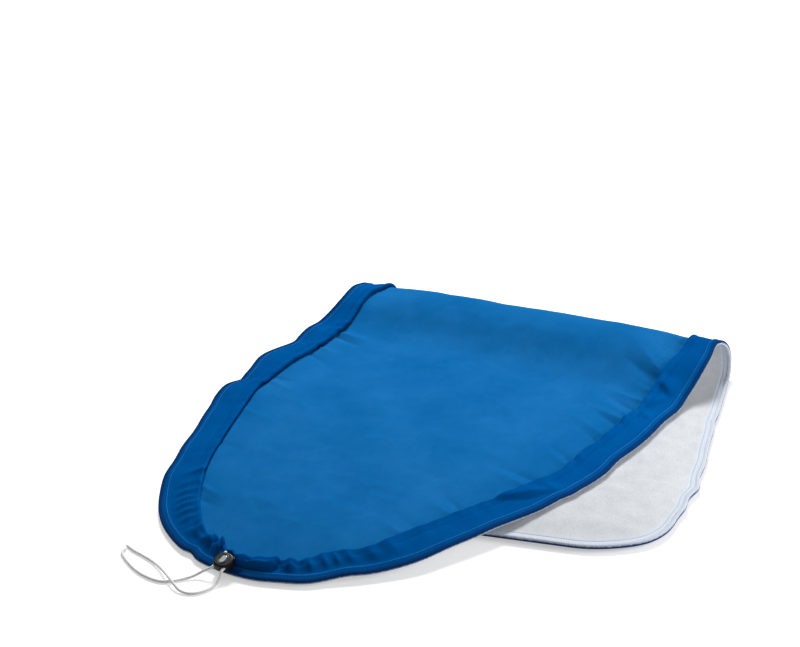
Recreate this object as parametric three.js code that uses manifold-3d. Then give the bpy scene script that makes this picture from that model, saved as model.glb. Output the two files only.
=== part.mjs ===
// A padded ironing board cover that lies folded over once, its nose half on top.
// Millimetres, +Z up. X runs along the fold, Y away from the nose, and the ground is at Z 0.
import * as THREE from "three";
import Module from "manifold-3d";

// The cover laid flat.
const COVER_LENGTH = 1140;
const COVER_WIDTH = 470;
const TAIL_WIDTH = 454;
const TAIL_RADIUS = 106;
const NOSE_LENGTH = 425;

// The fold: where it crosses the cover, how it is skewed, and how round it is at either end.
const FOLD_FROM_TAIL = 488;
const FOLD_SKEW = -9.6;
const FOLD_RADIUS_LEFT = 16;
const FOLD_RADIUS_RIGHT = 23;
const FALL_LEFT = 104;
const FALL_RIGHT = 120;

// The upper half: it lies on the lower half and drops to the ground past it.
const DROP_START = 10;
const DROP_LENGTH = 150;
const GROUND_GAP = 0.5;

// Plies, from the felt side to the blue side.
const FELT_THICKNESS = 4;
const FELT_EDGE_THICKNESS = 1.6;
const FELT_EDGE_WIDTH = 14;
const FELT_SLOPE_WIDTH = 32;
const FACE_THICKNESS = 0.6;
const BAND_THICKNESS = 0.5;
const PLY_GAP = 0.4;
const BAND_GAP = 0.6;
const HALVES_GAP = 0.6;

// The band, with a hem along its inner edge that the cord runs in, gathered near the nose.
const BAND_WIDTH = 42;
const HEM_FLAP = 7;
const MOUTH_WIDTH = 32;
const MOUTH_SIDE = 9;
const LIP_LENGTH = 2;
const GATHER_HEIGHT = 8;
const GATHER_PITCH = 64;
const GATHER_REACH = 110;
const GATHER_START = 13;

// Sewn edge and seams.
const OVERLOCK_LEG = 5;
const OVERLOCK_THICKNESS = 0.5;
const SEAM_INSET = 9;
const THREAD_RADIUS = 0.35;
const SEAT_GAP = 0.3;

// The draw cord and its lock.
const CORD_DIAMETER = 3;
const CORD_GAP = 0.45;
const CORD_SIDES = 8;
const CORD_SIDE_GAP = 1;
const NECK_START = 25;
const LOCK_TILT = 15;
const LOCK_INSET = 4.5;
const LOCK_ROUNDING = 1.8;
const LOCK_ROOF = 1.6;
const LOCK_SIDE_WALL = 1.8;
const LOCK_END_WALL = 3.8;
const BASE_THICKNESS = 1;
const WINDOW_WIDTH = 7;
const WINDOW_LENGTH = 11;
const WINDOW_LEDGE = 0.8;
const BUTTON_GAP = 0.4;
const BUTTON_TRAVEL = 1.5;
const BUTTON_CROWN = 0.6;
const FLANGE_THICKNESS = 1;
const FLANGE_LENGTH = 9;
const SPRING_RADIUS = 1.9;
const SPRING_WIRE = 0.5;
const SPRING_CURLS = 4;
const SPRING_POCKET_ROOF = 1.6;

// Free cord ends, from the lock outwards: right, outwards and up from the ground under the lock's middle.
const TAIL_LEFT = [
  [-12.7, 16.9, 7.5],
  [-20.6, 26.4, 2.6],
  [-27.3, 35.6, 1.6],
  [-34, 44.6, 1.6],
  [-43.5, 50.4, 1.6],
  [-59.8, 51.4, 1.6],
  [-76.1, 48.2, 1.6],
  [-91.8, 41.6, 1.6],
  [-103.5, 35.3, 1.6],
  [-109.8, 30, 1.6],
  [-110.6, 23.5, 1.6],
];
const TAIL_RIGHT = [
  [7.8, 18.6, 6.6],
  [7.6, 26.2, 2.2],
  [6, 36.5, 1.6],
  [1.2, 46.2, 1.6],
  [-6, 51.6, 1.6],
  [-15.3, 53, 2.4],
  [-25.9, 49.5, 4.6],
  [-38.6, 43, 5.3],
  [-56.6, 32.9, 3.2],
  [-72.7, 26.3, 1.8],
  [-88.7, 22.9, 1.6],
  [-103.4, 20.6, 1.6],
  [-114.8, 17, 1.6],
];

// Spacing of the mesh rows that cross the cover along the fold's direction.
const CAP_STEP = 14;
const TAIL_CAP_ROWS = 3;
const NOSE_CAP_ROWS = 7;
const TAIL_STEP = 20;
const TAIL_CORNER_ROWS = 6;
const LOWER_STEP = 85;
const FOLD_STEP = 8;
const FALL_STEP = 24;
const UPPER_STEP = 36;
const CORD_STEP = 7;

// Levels of the felt and face boundary, and heights of the band's pieces over that boundary.
const CORD_RADIUS = CORD_DIAMETER / 2;
const BAND_BASE = PLY_GAP + FACE_THICKNESS + BAND_GAP;
const BAND_TOP = BAND_BASE + BAND_THICKNESS;
const HEM_HEIGHT = 2 * BAND_THICKNESS + CORD_DIAMETER + 2 * CORD_GAP;
const LOWER_LEVEL = BAND_BASE + HEM_HEIGHT;
const UPPER_LEVEL = LOWER_LEVEL + 2 * FELT_THICKNESS + HALVES_GAP;
const GROUND_LEVEL = FELT_THICKNESS + GROUND_GAP;
const OVERLOCK_TOP = BAND_TOP + SEAT_GAP + OVERLOCK_THICKNESS;
const CORD_INSET = BAND_WIDTH - BAND_THICKNESS - CORD_GAP - CORD_RADIUS;
const CORD_RISE = BAND_TOP + CORD_GAP + CORD_RADIUS;
const HEM_SHOULDER = CORD_INSET - 0.6 * CORD_RADIUS;
const FLAP_END = HEM_SHOULDER - HEM_FLAP;
const FLAP_TOP = BAND_TOP + PLY_GAP + BAND_THICKNESS;
const HEM_TOP = BAND_BASE + HEM_HEIGHT;

// The lock, from its underside up and from its middle outwards.
const FLANGE_BOTTOM = BASE_THICKNESS + BUTTON_TRAVEL + SEAT_GAP;
const FLANGE_TOP = FLANGE_BOTTOM + FLANGE_THICKNESS;
const BORE_HEIGHT = FLANGE_TOP + SEAT_GAP + CORD_RADIUS;
const ROOF_UNDER = BORE_HEIGHT + CORD_RADIUS + CORD_GAP;
const LOCK_HEIGHT = ROOF_UNDER + LOCK_ROOF;
const CORD_SPACING = WINDOW_WIDTH + CORD_DIAMETER + 2 * CORD_SIDE_GAP;
const CAVITY_WIDTH = CORD_SPACING + CORD_DIAMETER + 4 * CORD_GAP;
const CAVITY_LENGTH = WINDOW_LENGTH + 2 * WINDOW_LEDGE;
const LOCK_WIDTH = CAVITY_WIDTH + 2 * LOCK_SIDE_WALL;
const LOCK_LENGTH = CAVITY_LENGTH + 2 * LOCK_END_WALL;

const { lerp, clamp, smoothstep, degToRad } = THREE.MathUtils;
const SKEW = degToRad(FOLD_SKEW);

// A gentle way from 0 to 1, made of two parabolas.
function ease(way) {
  const t = clamp(way, 0, 1);
  return t < 0.5 ? 2 * t * t : 1 - 2 * (1 - t) * (1 - t);
}

// Half the cover's width at a distance from the tail: rounded tail, nearly straight sides, elliptic nose.
function halfWidth(fromTail) {
  const noseStart = COVER_LENGTH - NOSE_LENGTH;
  if (fromTail > noseStart) {
    const along = Math.min(1, (fromTail - noseStart) / NOSE_LENGTH);
    return (COVER_WIDTH / 2) * Math.sqrt(1 - along * along);
  }
  const back = (noseStart - fromTail) / noseStart;
  const side = COVER_WIDTH / 2 - ((COVER_WIDTH - TAIL_WIDTH) / 2) * back * back;
  if (fromTail >= TAIL_RADIUS) return side;
  return side - TAIL_RADIUS + Math.sqrt(TAIL_RADIUS ** 2 - (TAIL_RADIUS - fromTail) ** 2);
}

// A place on the flat cover in fold terms: x is the distance past the fold line, y the place along it.
function toFold(fromTail, sideways) {
  const past = fromTail - FOLD_FROM_TAIL;
  return new THREE.Vector2(
    past * Math.cos(SKEW) - sideways * Math.sin(SKEW),
    past * Math.sin(SKEW) + sideways * Math.cos(SKEW),
  );
}

// The cover's outline in fold terms, once round, as a fine polygon.
function coverOutline(count) {
  const places = Array.from({ length: count + 1 }, (_, i) => {
    return (COVER_LENGTH * (1 - Math.cos((Math.PI * i) / count))) / 2;
  });
  const right = places.map((u) => toFold(u, halfWidth(u)));
  const left = places.map((u) => toFold(u, -halfWidth(u)));
  return [...left, ...right.reverse().slice(1)];
}
const OUTLINE = coverOutline(240);
const TAIL_END = Math.min(...OUTLINE.map((p) => p.x));
const NOSE_END = Math.max(...OUTLINE.map((p) => p.x));

// Distance of a place inside a closed outline, negative outside it.
function depthIn(outline, x, y) {
  let nearest = Infinity;
  let inside = false;
  outline.forEach((from, i) => {
    const to = outline[(i + 1) % outline.length];
    const [dx, dy] = [to.x - from.x, to.y - from.y];
    const share = clamp(((x - from.x) * dx + (y - from.y) * dy) / (dx * dx + dy * dy), 0, 1);
    nearest = Math.min(nearest, Math.hypot(x - from.x - share * dx, y - from.y - share * dy));
    const crosses = from.y > y !== to.y > y;
    if (crosses && x < from.x + ((y - from.y) * dx) / dy) inside = !inside;
  });
  return inside ? nearest : -nearest;
}
const insetAt = (s, b) => depthIn(OUTLINE, s, b);

// The fold's radius, and the length over which the upper half falls from it, at a place along the fold.
function foldAt(b) {
  const share = clamp(b / COVER_WIDTH + 0.5, 0, 1);
  return {
    radius: lerp(FOLD_RADIUS_LEFT, FOLD_RADIUS_RIGHT, share),
    fall: lerp(FALL_LEFT, FALL_RIGHT, share),
  };
}
const FOLD_ZONE = (Math.PI / 2) * Math.max(FOLD_RADIUS_LEFT, FOLD_RADIUS_RIGHT) + 2;

// The lower half's outline as it lies on the ground: distance from the fold, and place along it.
const LOWER_OUTLINE = OUTLINE.filter((p) => p.x < -FOLD_ZONE).map((p) => {
  const { radius } = foldAt(p.y);
  return new THREE.Vector2(-p.x + (1 - Math.PI / 2) * radius, p.y);
});

// Height of the upper half: it rests on the lower half, and drops to the ground past its outline.
function upperLevel(reach, b) {
  const past = -depthIn(LOWER_OUTLINE, reach, b) - DROP_START;
  return lerp(UPPER_LEVEL, GROUND_LEVEL, ease(past / DROP_LENGTH));
}

// The boundary of felt and face as the cover lies: lower half, round the fold, upper half.
function boundary(s, b) {
  const { radius, fall } = foldAt(b);
  const quarter = (Math.PI / 2) * radius;
  if (Math.abs(s) <= quarter) {
    const turn = s / radius;
    const height = LOWER_LEVEL + radius * (1 + Math.sin(turn));
    return new THREE.Vector3(b, radius * (Math.cos(turn) - 1), height);
  }
  const reach = radius + Math.abs(s) - quarter;
  if (s < 0) return new THREE.Vector3(b, -reach, LOWER_LEVEL);
  const crest = LOWER_LEVEL + 2 * radius;
  const fallen = ease((s - quarter) / fall);
  const height = lerp(crest, upperLevel(reach, b), fallen);
  return new THREE.Vector3(b, -reach, height);
}

// A point at a height over the boundary, towards the blue side.
function lay(s, b, height) {
  const step = 0.5;
  const along = boundary(s + step, b).sub(boundary(s - step, b));
  const across = boundary(s, b + step).sub(boundary(s, b - step));
  const up = along.cross(across).normalize();
  return boundary(s, b).addScaledVector(up, height);
}

// Evenly spaced values from a first one up to, and without, a last one.
function spaced(from, to, step) {
  const count = Math.max(1, Math.round(Math.abs(to - from) / step));
  return Array.from({ length: count }, (_, i) => lerp(from, to, i / count));
}

// Rows across the cover, closer together at the round ends and in the fold.
function coverRows() {
  const noseRadius = COVER_WIDTH ** 2 / 4 / NOSE_LENGTH;
  const depth = (place, radius) => (CAP_STEP * place) ** 2 / (2 * radius);
  const tailCap = Array.from({ length: TAIL_CAP_ROWS }, (_, i) => TAIL_END + depth(i + 0.5, TAIL_RADIUS));
  const noseCap = Array.from({ length: NOSE_CAP_ROWS }, (_, i) => NOSE_END - depth(i + 0.5, noseRadius));
  const tailFrom = TAIL_END + depth(TAIL_CAP_ROWS + 0.5, TAIL_RADIUS);
  const corner = toFold(TAIL_RADIUS, Math.sign(SKEW) * (TAIL_RADIUS - TAIL_WIDTH / 2)).x;
  const cornerRows = Array.from({ length: TAIL_CORNER_ROWS + 1 }, (_, i) => {
    const turn = lerp(Math.abs(SKEW), Math.PI / 2, i / TAIL_CORNER_ROWS);
    return corner - TAIL_RADIUS * Math.cos(turn);
  });
  const fallTo = FOLD_ZONE + Math.max(FALL_LEFT, FALL_RIGHT);
  const noseFrom = NOSE_END - depth(NOSE_CAP_ROWS, noseRadius);
  return [
    ...tailCap,
    ...spaced(tailFrom, cornerRows[0], TAIL_STEP),
    ...cornerRows.slice(0, -1),
    ...spaced(corner, -FOLD_ZONE, LOWER_STEP),
    ...spaced(-FOLD_ZONE, FOLD_ZONE, FOLD_STEP),
    ...spaced(FOLD_ZONE, fallTo, FALL_STEP),
    ...spaced(fallTo, noseFrom, UPPER_STEP),
    ...noseCap.reverse(),
  ];
}

// The two places along a row where it meets the outline.
function rowEnds(s) {
  const met = [];
  OUTLINE.forEach((from, i) => {
    const to = OUTLINE[(i + 1) % OUTLINE.length];
    if (from.x <= s !== to.x <= s) met.push(lerp(from.y, to.y, (s - from.x) / (to.x - from.x)));
  });
  return [Math.min(...met), Math.max(...met)];
}

// The place along a row, from its end towards its middle, where the distance to the outline is given.
function insetPlace(s, end, middle, inset, spare) {
  if (insetAt(s, middle) <= inset) return lerp(end, middle, spare);
  let near = end;
  let far = middle;
  for (let i = 0; i < 40; i += 1) {
    const half = (near + far) / 2;
    if (insetAt(s, half) < inset) near = half;
    else far = half;
  }
  return (near + far) / 2;
}

const ROWS = coverRows().map((s) => ({ s, ends: rowEnds(s) }));
const FIELD_INSET = FELT_EDGE_WIDTH + FELT_SLOPE_WIDTH;
const FIELD_COLUMNS = 5;

// Places of the mesh columns along a row: outline, edge strip, then evenly across the field.
function columnsOf({ s, ends }) {
  const middle = (ends[0] + ends[1]) / 2;
  const strip = ends.map((end) => insetPlace(s, end, middle, FELT_EDGE_WIDTH, 0.3));
  const field = ends.map((end) => insetPlace(s, end, middle, FIELD_INSET, 0.7));
  const inner = Array.from({ length: FIELD_COLUMNS + 1 }, (_, i) => lerp(field[0], field[1], i / FIELD_COLUMNS));
  return [ends[0], strip[0], ...inner, strip[1], ends[1]];
}
const GRID = ROWS.map((row) => columnsOf(row).map((b) => new THREE.Vector2(row.s, b)));

// A closed geometry that faces outwards, from points and triangles.
function closedGeometry(points, triangles) {
  let volume = 0;
  for (let i = 0; i < triangles.length; i += 3) {
    const [p, q, r] = [0, 1, 2].map((k) => points[triangles[i + k]]);
    volume += p.dot(q.clone().cross(r));
  }
  if (volume < 0) triangles.reverse();
  const geometry = new THREE.BufferGeometry().setFromPoints(points);
  geometry.setIndex(triangles);
  geometry.computeVertexNormals();
  return geometry;
}

// Two triangles of a four-sided patch.
const patch = (a, b, c, d) => [a, b, c, a, c, d];

// A ply of the cover, between two heights over the boundary that may change with the place.
function ply(lowHeight, highHeight) {
  const columns = GRID[0].length;
  const size = GRID.length * columns;
  const places = GRID.flat();
  const low = places.map((p) => lay(p.x, p.y, lowHeight(p)));
  const high = places.map((p) => lay(p.x, p.y, highHeight(p)));
  const triangles = [];
  for (let i = 0; i + 1 < GRID.length; i += 1) {
    for (let j = 0; j + 1 < columns; j += 1) {
      const [a, b] = [i * columns + j, (i + 1) * columns + j];
      triangles.push(...patch(a, a + 1, b + 1, b));
      triangles.push(...patch(size + a, size + b, size + b + 1, size + a + 1));
    }
  }
  const last = columns - 1;
  const rim = [
    ...Array.from({ length: last }, (_, j) => j),
    ...GRID.map((_, i) => i * columns + last),
    ...Array.from({ length: last }, (_, j) => size - 2 - j),
    ...GRID.map((_, i) => size - columns - i * columns).slice(1, -1),
  ];
  rim.forEach((a, k) => {
    const b = rim[(k + 1) % rim.length];
    triangles.push(...patch(a, size + a, size + b, b));
  });
  return closedGeometry([...low, ...high], triangles);
}

// Stations round the outline at the row ends: place, inward direction, and way from the cord's mouth.
function edgeStations() {
  const left = ROWS.map(({ s, ends }) => new THREE.Vector2(s, ends[0]));
  const right = ROWS.map(({ s, ends }) => new THREE.Vector2(s, ends[1])).reverse();
  const places = [...right, ...left];
  const normal = (from, to) => new THREE.Vector2(from.y - to.y, to.x - from.x).normalize();
  const mouth = toFold(COVER_LENGTH, MOUTH_SIDE);
  const sideways = toFold(0, 1).sub(toFold(0, 0));
  return places.map((place, i) => {
    const before = places[(i + places.length - 1) % places.length];
    const after = places[(i + 1) % places.length];
    const inward = normal(before, place).add(normal(place, after)).normalize();
    if (insetAt(place.x + inward.x, place.y + inward.y) < 0) inward.negate();
    const row = new THREE.Vector2(0, i < right.length ? -1 : 1);
    const bent = 1 - smoothstep(Math.abs(place.x), FOLD_ZONE + FALL_RIGHT, FOLD_ZONE + 2 * FALL_RIGHT);
    inward.lerp(row, bent).normalize();
    const away = place.clone().sub(mouth);
    return { place, inward, travel: Math.sign(away.dot(sideways)) * away.length() };
  });
}
const STATIONS = edgeStations();

// Height that the gathers add to the band: none along the sewn edge, most at the hem by the mouth.
function gather(travel, inset) {
  const past = Math.max(0, Math.abs(travel) - MOUTH_WIDTH / 2);
  const wave = (1 + Math.cos((2 * Math.PI * past) / GATHER_PITCH)) / 2;
  const fade = Math.exp(-((past / GATHER_REACH) ** 2));
  const share = Math.max(0, inset - GATHER_START) / (BAND_WIDTH - GATHER_START);
  return GATHER_HEIGHT * wave * fade * share;
}

// A point of a piece on the band, at a station, an inset from the outline and a height.
function onBand({ place, inward, travel }, inset, height) {
  const at = place.clone().addScaledVector(inward, inset);
  return lay(at.x, at.y, height + (height > 0 ? gather(travel, inset) : 0));
}

// A closed ring round the whole cover, from a section of [inset, height] corners.
// Each patch is split the same way in from the outline, so that a thin wall's two sides stay apart.
function ring(section) {
  const corners = section.length;
  const points = STATIONS.flatMap((station) => section.map(([inset, height]) => onBand(station, inset, height)));
  const triangles = [];
  STATIONS.forEach((_, i) => {
    const here = i * corners;
    const next = ((i + 1) % STATIONS.length) * corners;
    section.forEach(([inset], k) => {
      const after = (k + 1) % corners;
      const around = [here + k, next + k, next + after, here + after];
      if (section[after][0] > inset) around.push(around.shift());
      triangles.push(...patch(...around));
    });
  });
  return closedGeometry(points, triangles);
}

// A thread that runs round the cover at an inset and a height of its middle.
function threadRing(inset, height) {
  const r = THREAD_RADIUS;
  return ring([
    [inset + r, height],
    [inset, height + r],
    [inset - r, height],
    [inset, height - r],
  ]);
}

// A round tube through points, with flat ends.
function tube(points, radius, sides) {
  const ahead = points.map((p, i) => {
    const before = p.clone().sub(points[Math.max(0, i - 1)]).normalize();
    const after = points[Math.min(points.length - 1, i + 1)].clone().sub(p).normalize();
    return before.add(after).normalize();
  });
  const across = new THREE.Vector3(0, 0, 1).cross(ahead[0]);
  if (across.length() < 0.1) across.set(1, 0, 0);
  const turn = new THREE.Quaternion();
  const rings = points.flatMap((point, i) => {
    if (i > 0) across.applyQuaternion(turn.setFromUnitVectors(ahead[i - 1], ahead[i]));
    across.addScaledVector(ahead[i], -across.dot(ahead[i])).normalize();
    const up = ahead[i].clone().cross(across);
    return Array.from({ length: sides }, (_, k) => {
      const angle = (2 * Math.PI * k) / sides;
      const out = across.clone().multiplyScalar(Math.cos(angle)).addScaledVector(up, Math.sin(angle));
      return point.clone().addScaledVector(out, radius);
    });
  });
  const triangles = [];
  for (let i = 0; i + 1 < points.length; i += 1) {
    for (let k = 0; k < sides; k += 1) {
      const after = (k + 1) % sides;
      const [a, b] = [i * sides, (i + 1) * sides];
      triangles.push(...patch(a + k, a + after, b + after, b + k));
    }
  }
  const end = (points.length - 1) * sides;
  for (let k = 1; k + 1 < sides; k += 1) {
    triangles.push(0, k + 1, k);
    triangles.push(end, end + k, end + k + 1);
  }
  return closedGeometry(rings, triangles);
}

// Points at even steps along a smooth curve through given points.
function smoothRun(points, step) {
  const curve = new THREE.CatmullRomCurve3(points, false, "centripetal");
  return curve.getSpacedPoints(Math.max(2, Math.round(curve.getLength() / step)));
}

// Joins and cuts of closed geometries.
const wasm = await Module();
wasm.setup();

function toSolid(geometry) {
  const positions = geometry.getAttribute("position");
  const corners = geometry.index ? geometry.index.array : positions.array.map((_, i) => i).slice(0, positions.count);
  const mesh = new wasm.Mesh({
    numProp: 3,
    vertProperties: Float32Array.from(positions.array),
    triVerts: Uint32Array.from(corners),
  });
  mesh.merge();
  return new wasm.Manifold(mesh);
}

function toGeometry(solid) {
  const mesh = solid.getMesh();
  const geometry = new THREE.BufferGeometry();
  geometry.setAttribute("position", new THREE.BufferAttribute(mesh.vertProperties, 3));
  geometry.setIndex(new THREE.BufferAttribute(mesh.triVerts, 1));
  geometry.computeVertexNormals();
  return geometry;
}

function cut(geometry, ...cutters) {
  return toGeometry(cutters.reduce((solid, cutter) => solid.subtract(toSolid(cutter)), toSolid(geometry)));
}

function join(geometry, ...others) {
  return toGeometry(others.reduce((solid, other) => solid.add(toSolid(other)), toSolid(geometry)));
}

// A named piece with its own finish.
function piece(name, geometry, color, roughness, metalness = 0) {
  const material = new THREE.MeshStandardMaterial({ color, roughness, metalness });
  const mesh = new THREE.Mesh(geometry, material);
  mesh.name = name;
  return mesh;
}

// The felt's thickness: pressed thin along the sewn edge.
function feltThickness(place) {
  const into = (insetAt(place.x, place.y) - FELT_EDGE_WIDTH) / FELT_SLOPE_WIDTH;
  return lerp(FELT_EDGE_THICKNESS, FELT_THICKNESS, clamp(into, 0, 1));
}

// A place near the cord's mouth at the nose: sideways from its middle, and in from the outline.
function mouthPlace(sideways, inset) {
  return toFold(COVER_LENGTH - inset, MOUTH_SIDE + sideways);
}

function mouthPoint(sideways, inset, height) {
  const at = mouthPlace(sideways, inset);
  return lay(at.x, at.y, height + gather(0, inset));
}

// The band: a strip on the face whose inner edge is turned back over the cord and sewn down.
function bandGeometry() {
  const wall = BAND_THICKNESS;
  const whole = ring([
    [0, BAND_BASE],
    [GATHER_START, BAND_BASE],
    [BAND_WIDTH, BAND_BASE],
    [BAND_WIDTH, HEM_TOP],
    [HEM_SHOULDER, HEM_TOP],
    [FLAP_END, FLAP_TOP],
    [FLAP_END, FLAP_TOP - wall],
    [HEM_SHOULDER, HEM_TOP - wall],
    [BAND_WIDTH - wall, HEM_TOP - wall],
    [BAND_WIDTH - wall, BAND_TOP],
    [GATHER_START, BAND_TOP],
    [0, BAND_TOP],
  ]);
  const mouth = new THREE.BoxGeometry(1, 1, 1);
  const corners = mouth.getAttribute("position");
  for (let i = 0; i < corners.count; i += 1) {
    const sideways = corners.getX(i) * MOUTH_WIDTH;
    const inset = corners.getY(i) < 0 ? FLAP_END - 1 : BAND_WIDTH + HEM_HEIGHT;
    const height = corners.getZ(i) < 0 ? BAND_TOP + PLY_GAP / 2 : BAND_TOP + 3 * HEM_HEIGHT;
    const at = mouthPoint(sideways, inset, height);
    corners.setXYZ(i, at.x, at.y, at.z);
  }
  return cut(whole, closedBox(mouth));
}

// A box whose corners were moved, joined at its corners and turned outwards.
function closedBox(box) {
  const positions = box.getAttribute("position");
  const points = [];
  const corner = Array.from({ length: positions.count }, (_, i) => {
    const p = new THREE.Vector3().fromBufferAttribute(positions, i);
    const known = points.findIndex((q) => q.distanceTo(p) < 1e-4);
    return known < 0 ? points.push(p) - 1 : known;
  });
  return closedGeometry(points, Array.from(box.index.array, (i) => corner[i]));
}

// Thread edge that wraps band, face and felt along the outline.
function overlockGeometry() {
  const t = OVERLOCK_THICKNESS;
  const bottom = -FELT_EDGE_THICKNESS - SEAT_GAP - t;
  return ring([
    [-SEAT_GAP - t, OVERLOCK_TOP],
    [OVERLOCK_LEG, OVERLOCK_TOP],
    [OVERLOCK_LEG, OVERLOCK_TOP - t],
    [-SEAT_GAP, OVERLOCK_TOP - t],
    [-SEAT_GAP, bottom + t],
    [OVERLOCK_LEG, bottom + t],
    [OVERLOCK_LEG, bottom],
    [-SEAT_GAP - t, bottom],
  ]);
}

// Threads of the edge seam, on the band and in the felt, and the thread that holds the hem's flap.
function threadPieces() {
  const over = SEAT_GAP + THREAD_RADIUS;
  const slope = (HEM_TOP - FLAP_TOP) / HEM_FLAP;
  const hemInset = FLAP_END + 4 * THREAD_RADIUS;
  const hemHeight = FLAP_TOP + slope * (hemInset - FLAP_END) + over * Math.hypot(1, slope);
  return [
    piece("seam_thread_face", threadRing(SEAM_INSET, BAND_TOP + over), 0x8fb4d8, 0.7),
    piece("seam_thread_felt", threadRing(SEAM_INSET, -FELT_EDGE_THICKNESS - over), 0xc9d2dc, 0.7),
    piece("hem_thread", threadRing(hemInset, hemHeight), 0x1c5fa8, 0.7),
  ];
}

// The lock leans on the sewn edge at the nose, tilted outwards: +Y of its frame points into the cover.
const lockFrame = new THREE.Group();
lockFrame.position.copy(mouthPoint(0, -SEAT_GAP - OVERLOCK_THICKNESS, OVERLOCK_TOP + SEAT_GAP));
lockFrame.rotation.set(degToRad(LOCK_TILT), 0, SKEW, "ZXY");
lockFrame.updateMatrix();

// A point in the lock's frame on a strand's axis, at a distance in from the sewn edge.
function onStrand(side, inwards) {
  const local = new THREE.Vector3((side * CORD_SPACING) / 2, inwards, BORE_HEIGHT);
  return local.applyMatrix4(lockFrame.matrix);
}

// A point from the ground under the lock's middle: right, outwards and up.
function fromLock(right, outwards, up) {
  const flat = new THREE.Vector3(right, LOCK_INSET - outwards, 0);
  flat.applyAxisAngle(new THREE.Vector3(0, 0, 1), SKEW);
  return new THREE.Vector3(lockFrame.position.x + flat.x, lockFrame.position.y + flat.y, up);
}

// The strand's way from the hem's end, across the mouth and out towards the lock.
function mouthTurn(side, inHem, inMouth) {
  const edge = side * (MOUTH_WIDTH / 2 - LIP_LENGTH);
  const share = (inHem.travel - edge) / (inHem.travel - inMouth.travel);
  const from = onBand(inHem, CORD_INSET, CORD_RISE);
  const lip = from.clone().lerp(onBand(inMouth, CORD_INSET, CORD_RISE), clamp(share, 0, 1));
  const bend = onStrand(side * 1.25, NECK_START + 8);
  bend.z = (lip.z + bend.z) / 2;
  return smoothRun([lip, bend, onStrand(side, NECK_START + 2), onStrand(side, NECK_START)], 3);
}

// The cord in the hem, from one strand's neck round the whole cover to the other's.
function drawcordPoints() {
  const inMouth = ({ travel }) => Math.abs(travel) <= MOUTH_WIDTH / 2 + CORD_DIAMETER;
  const first = STATIONS.findIndex((station, i) => inMouth(STATIONS.at(i - 1)) && !inMouth(station));
  const order = [...STATIONS.slice(first), ...STATIONS.slice(0, first)];
  const hem = order.filter((station) => !inMouth(station));
  const right = mouthTurn(1, hem[0], order.at(-1));
  const left = mouthTurn(-1, hem.at(-1), order[hem.length]);
  return [...right.reverse(), ...hem.map((station) => onBand(station, CORD_INSET, CORD_RISE)), ...left];
}

// A straight strand from the hem's mouth through the lock.
function neckPoints(side) {
  const start = onStrand(side, NECK_START - SEAT_GAP);
  const stop = onStrand(side, LOCK_INSET - LOCK_LENGTH / 2);
  return [0, 0.25, 0.5, 0.75, 1].map((share) => start.clone().lerp(stop, share));
}

// A free end: straight out of the lock's bore, then along its route.
function tailPoints(side, route) {
  const start = LOCK_INSET - LOCK_LENGTH / 2 - SEAT_GAP;
  const straight = onStrand(side, start - 1);
  return [onStrand(side, start), ...smoothRun([straight, ...route.map((at) => fromLock(...at))], CORD_STEP)];
}

function cordPieces() {
  const cord = (name, points) => piece(name, tube(points, CORD_RADIUS, CORD_SIDES), 0xeeeeec, 0.8);
  return [
    cord("drawcord", drawcordPoints()),
    cord("cord_neck_left", neckPoints(-1)),
    cord("cord_neck_right", neckPoints(1)),
    cord("cord_tail_left", tailPoints(-1, TAIL_LEFT)),
    cord("cord_tail_right", tailPoints(1, TAIL_RIGHT)),
  ];
}

// An upright block with a rounded plan, from a height upwards.
function roundedBlock(width, length, bottom, height, cornerShare, rounding = 0) {
  const [x, y] = [width / 2 - rounding, length / 2 - rounding];
  const corners = 40;
  const shape = new THREE.Shape(
    Array.from({ length: corners }, (_, i) => {
      const angle = (2 * Math.PI * i) / corners;
      const bulge = (value) => Math.sign(value) * Math.abs(value) ** cornerShare;
      return new THREE.Vector2(x * bulge(Math.cos(angle)), y * bulge(Math.sin(angle)));
    }),
  );
  const geometry = new THREE.ExtrudeGeometry(shape, {
    depth: height - 2 * rounding,
    bevelEnabled: rounding > 0,
    bevelThickness: rounding,
    bevelSize: rounding,
    bevelSegments: 3,
    steps: 1,
  });
  return geometry.translate(0, 0, bottom + rounding);
}

function box(width, length, bottom, height) {
  return new THREE.BoxGeometry(width, length, height).translate(0, 0, bottom + height / 2);
}

// An oval block with two cord bores, hollow from below, with a window in its roof.
function lockBodyGeometry() {
  const outer = roundedBlock(LOCK_WIDTH, LOCK_LENGTH, 0, LOCK_HEIGHT, 0.8, LOCK_ROUNDING);
  const cavity = box(CAVITY_WIDTH, CAVITY_LENGTH, -1, ROOF_UNDER + 1);
  const window = roundedBlock(WINDOW_WIDTH, WINDOW_LENGTH, ROOF_UNDER - 1, LOCK_ROOF + 2, 0.6);
  const boreRadius = CORD_RADIUS + CORD_GAP;
  const bores = [-1, 1].map((side) => {
    const bore = new THREE.CylinderGeometry(boreRadius, boreRadius, LOCK_LENGTH + 2, 16);
    return bore.translate((side * CORD_SPACING) / 2, 0, BORE_HEIGHT);
  });
  return cut(outer, cavity, window, ...bores);
}

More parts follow.
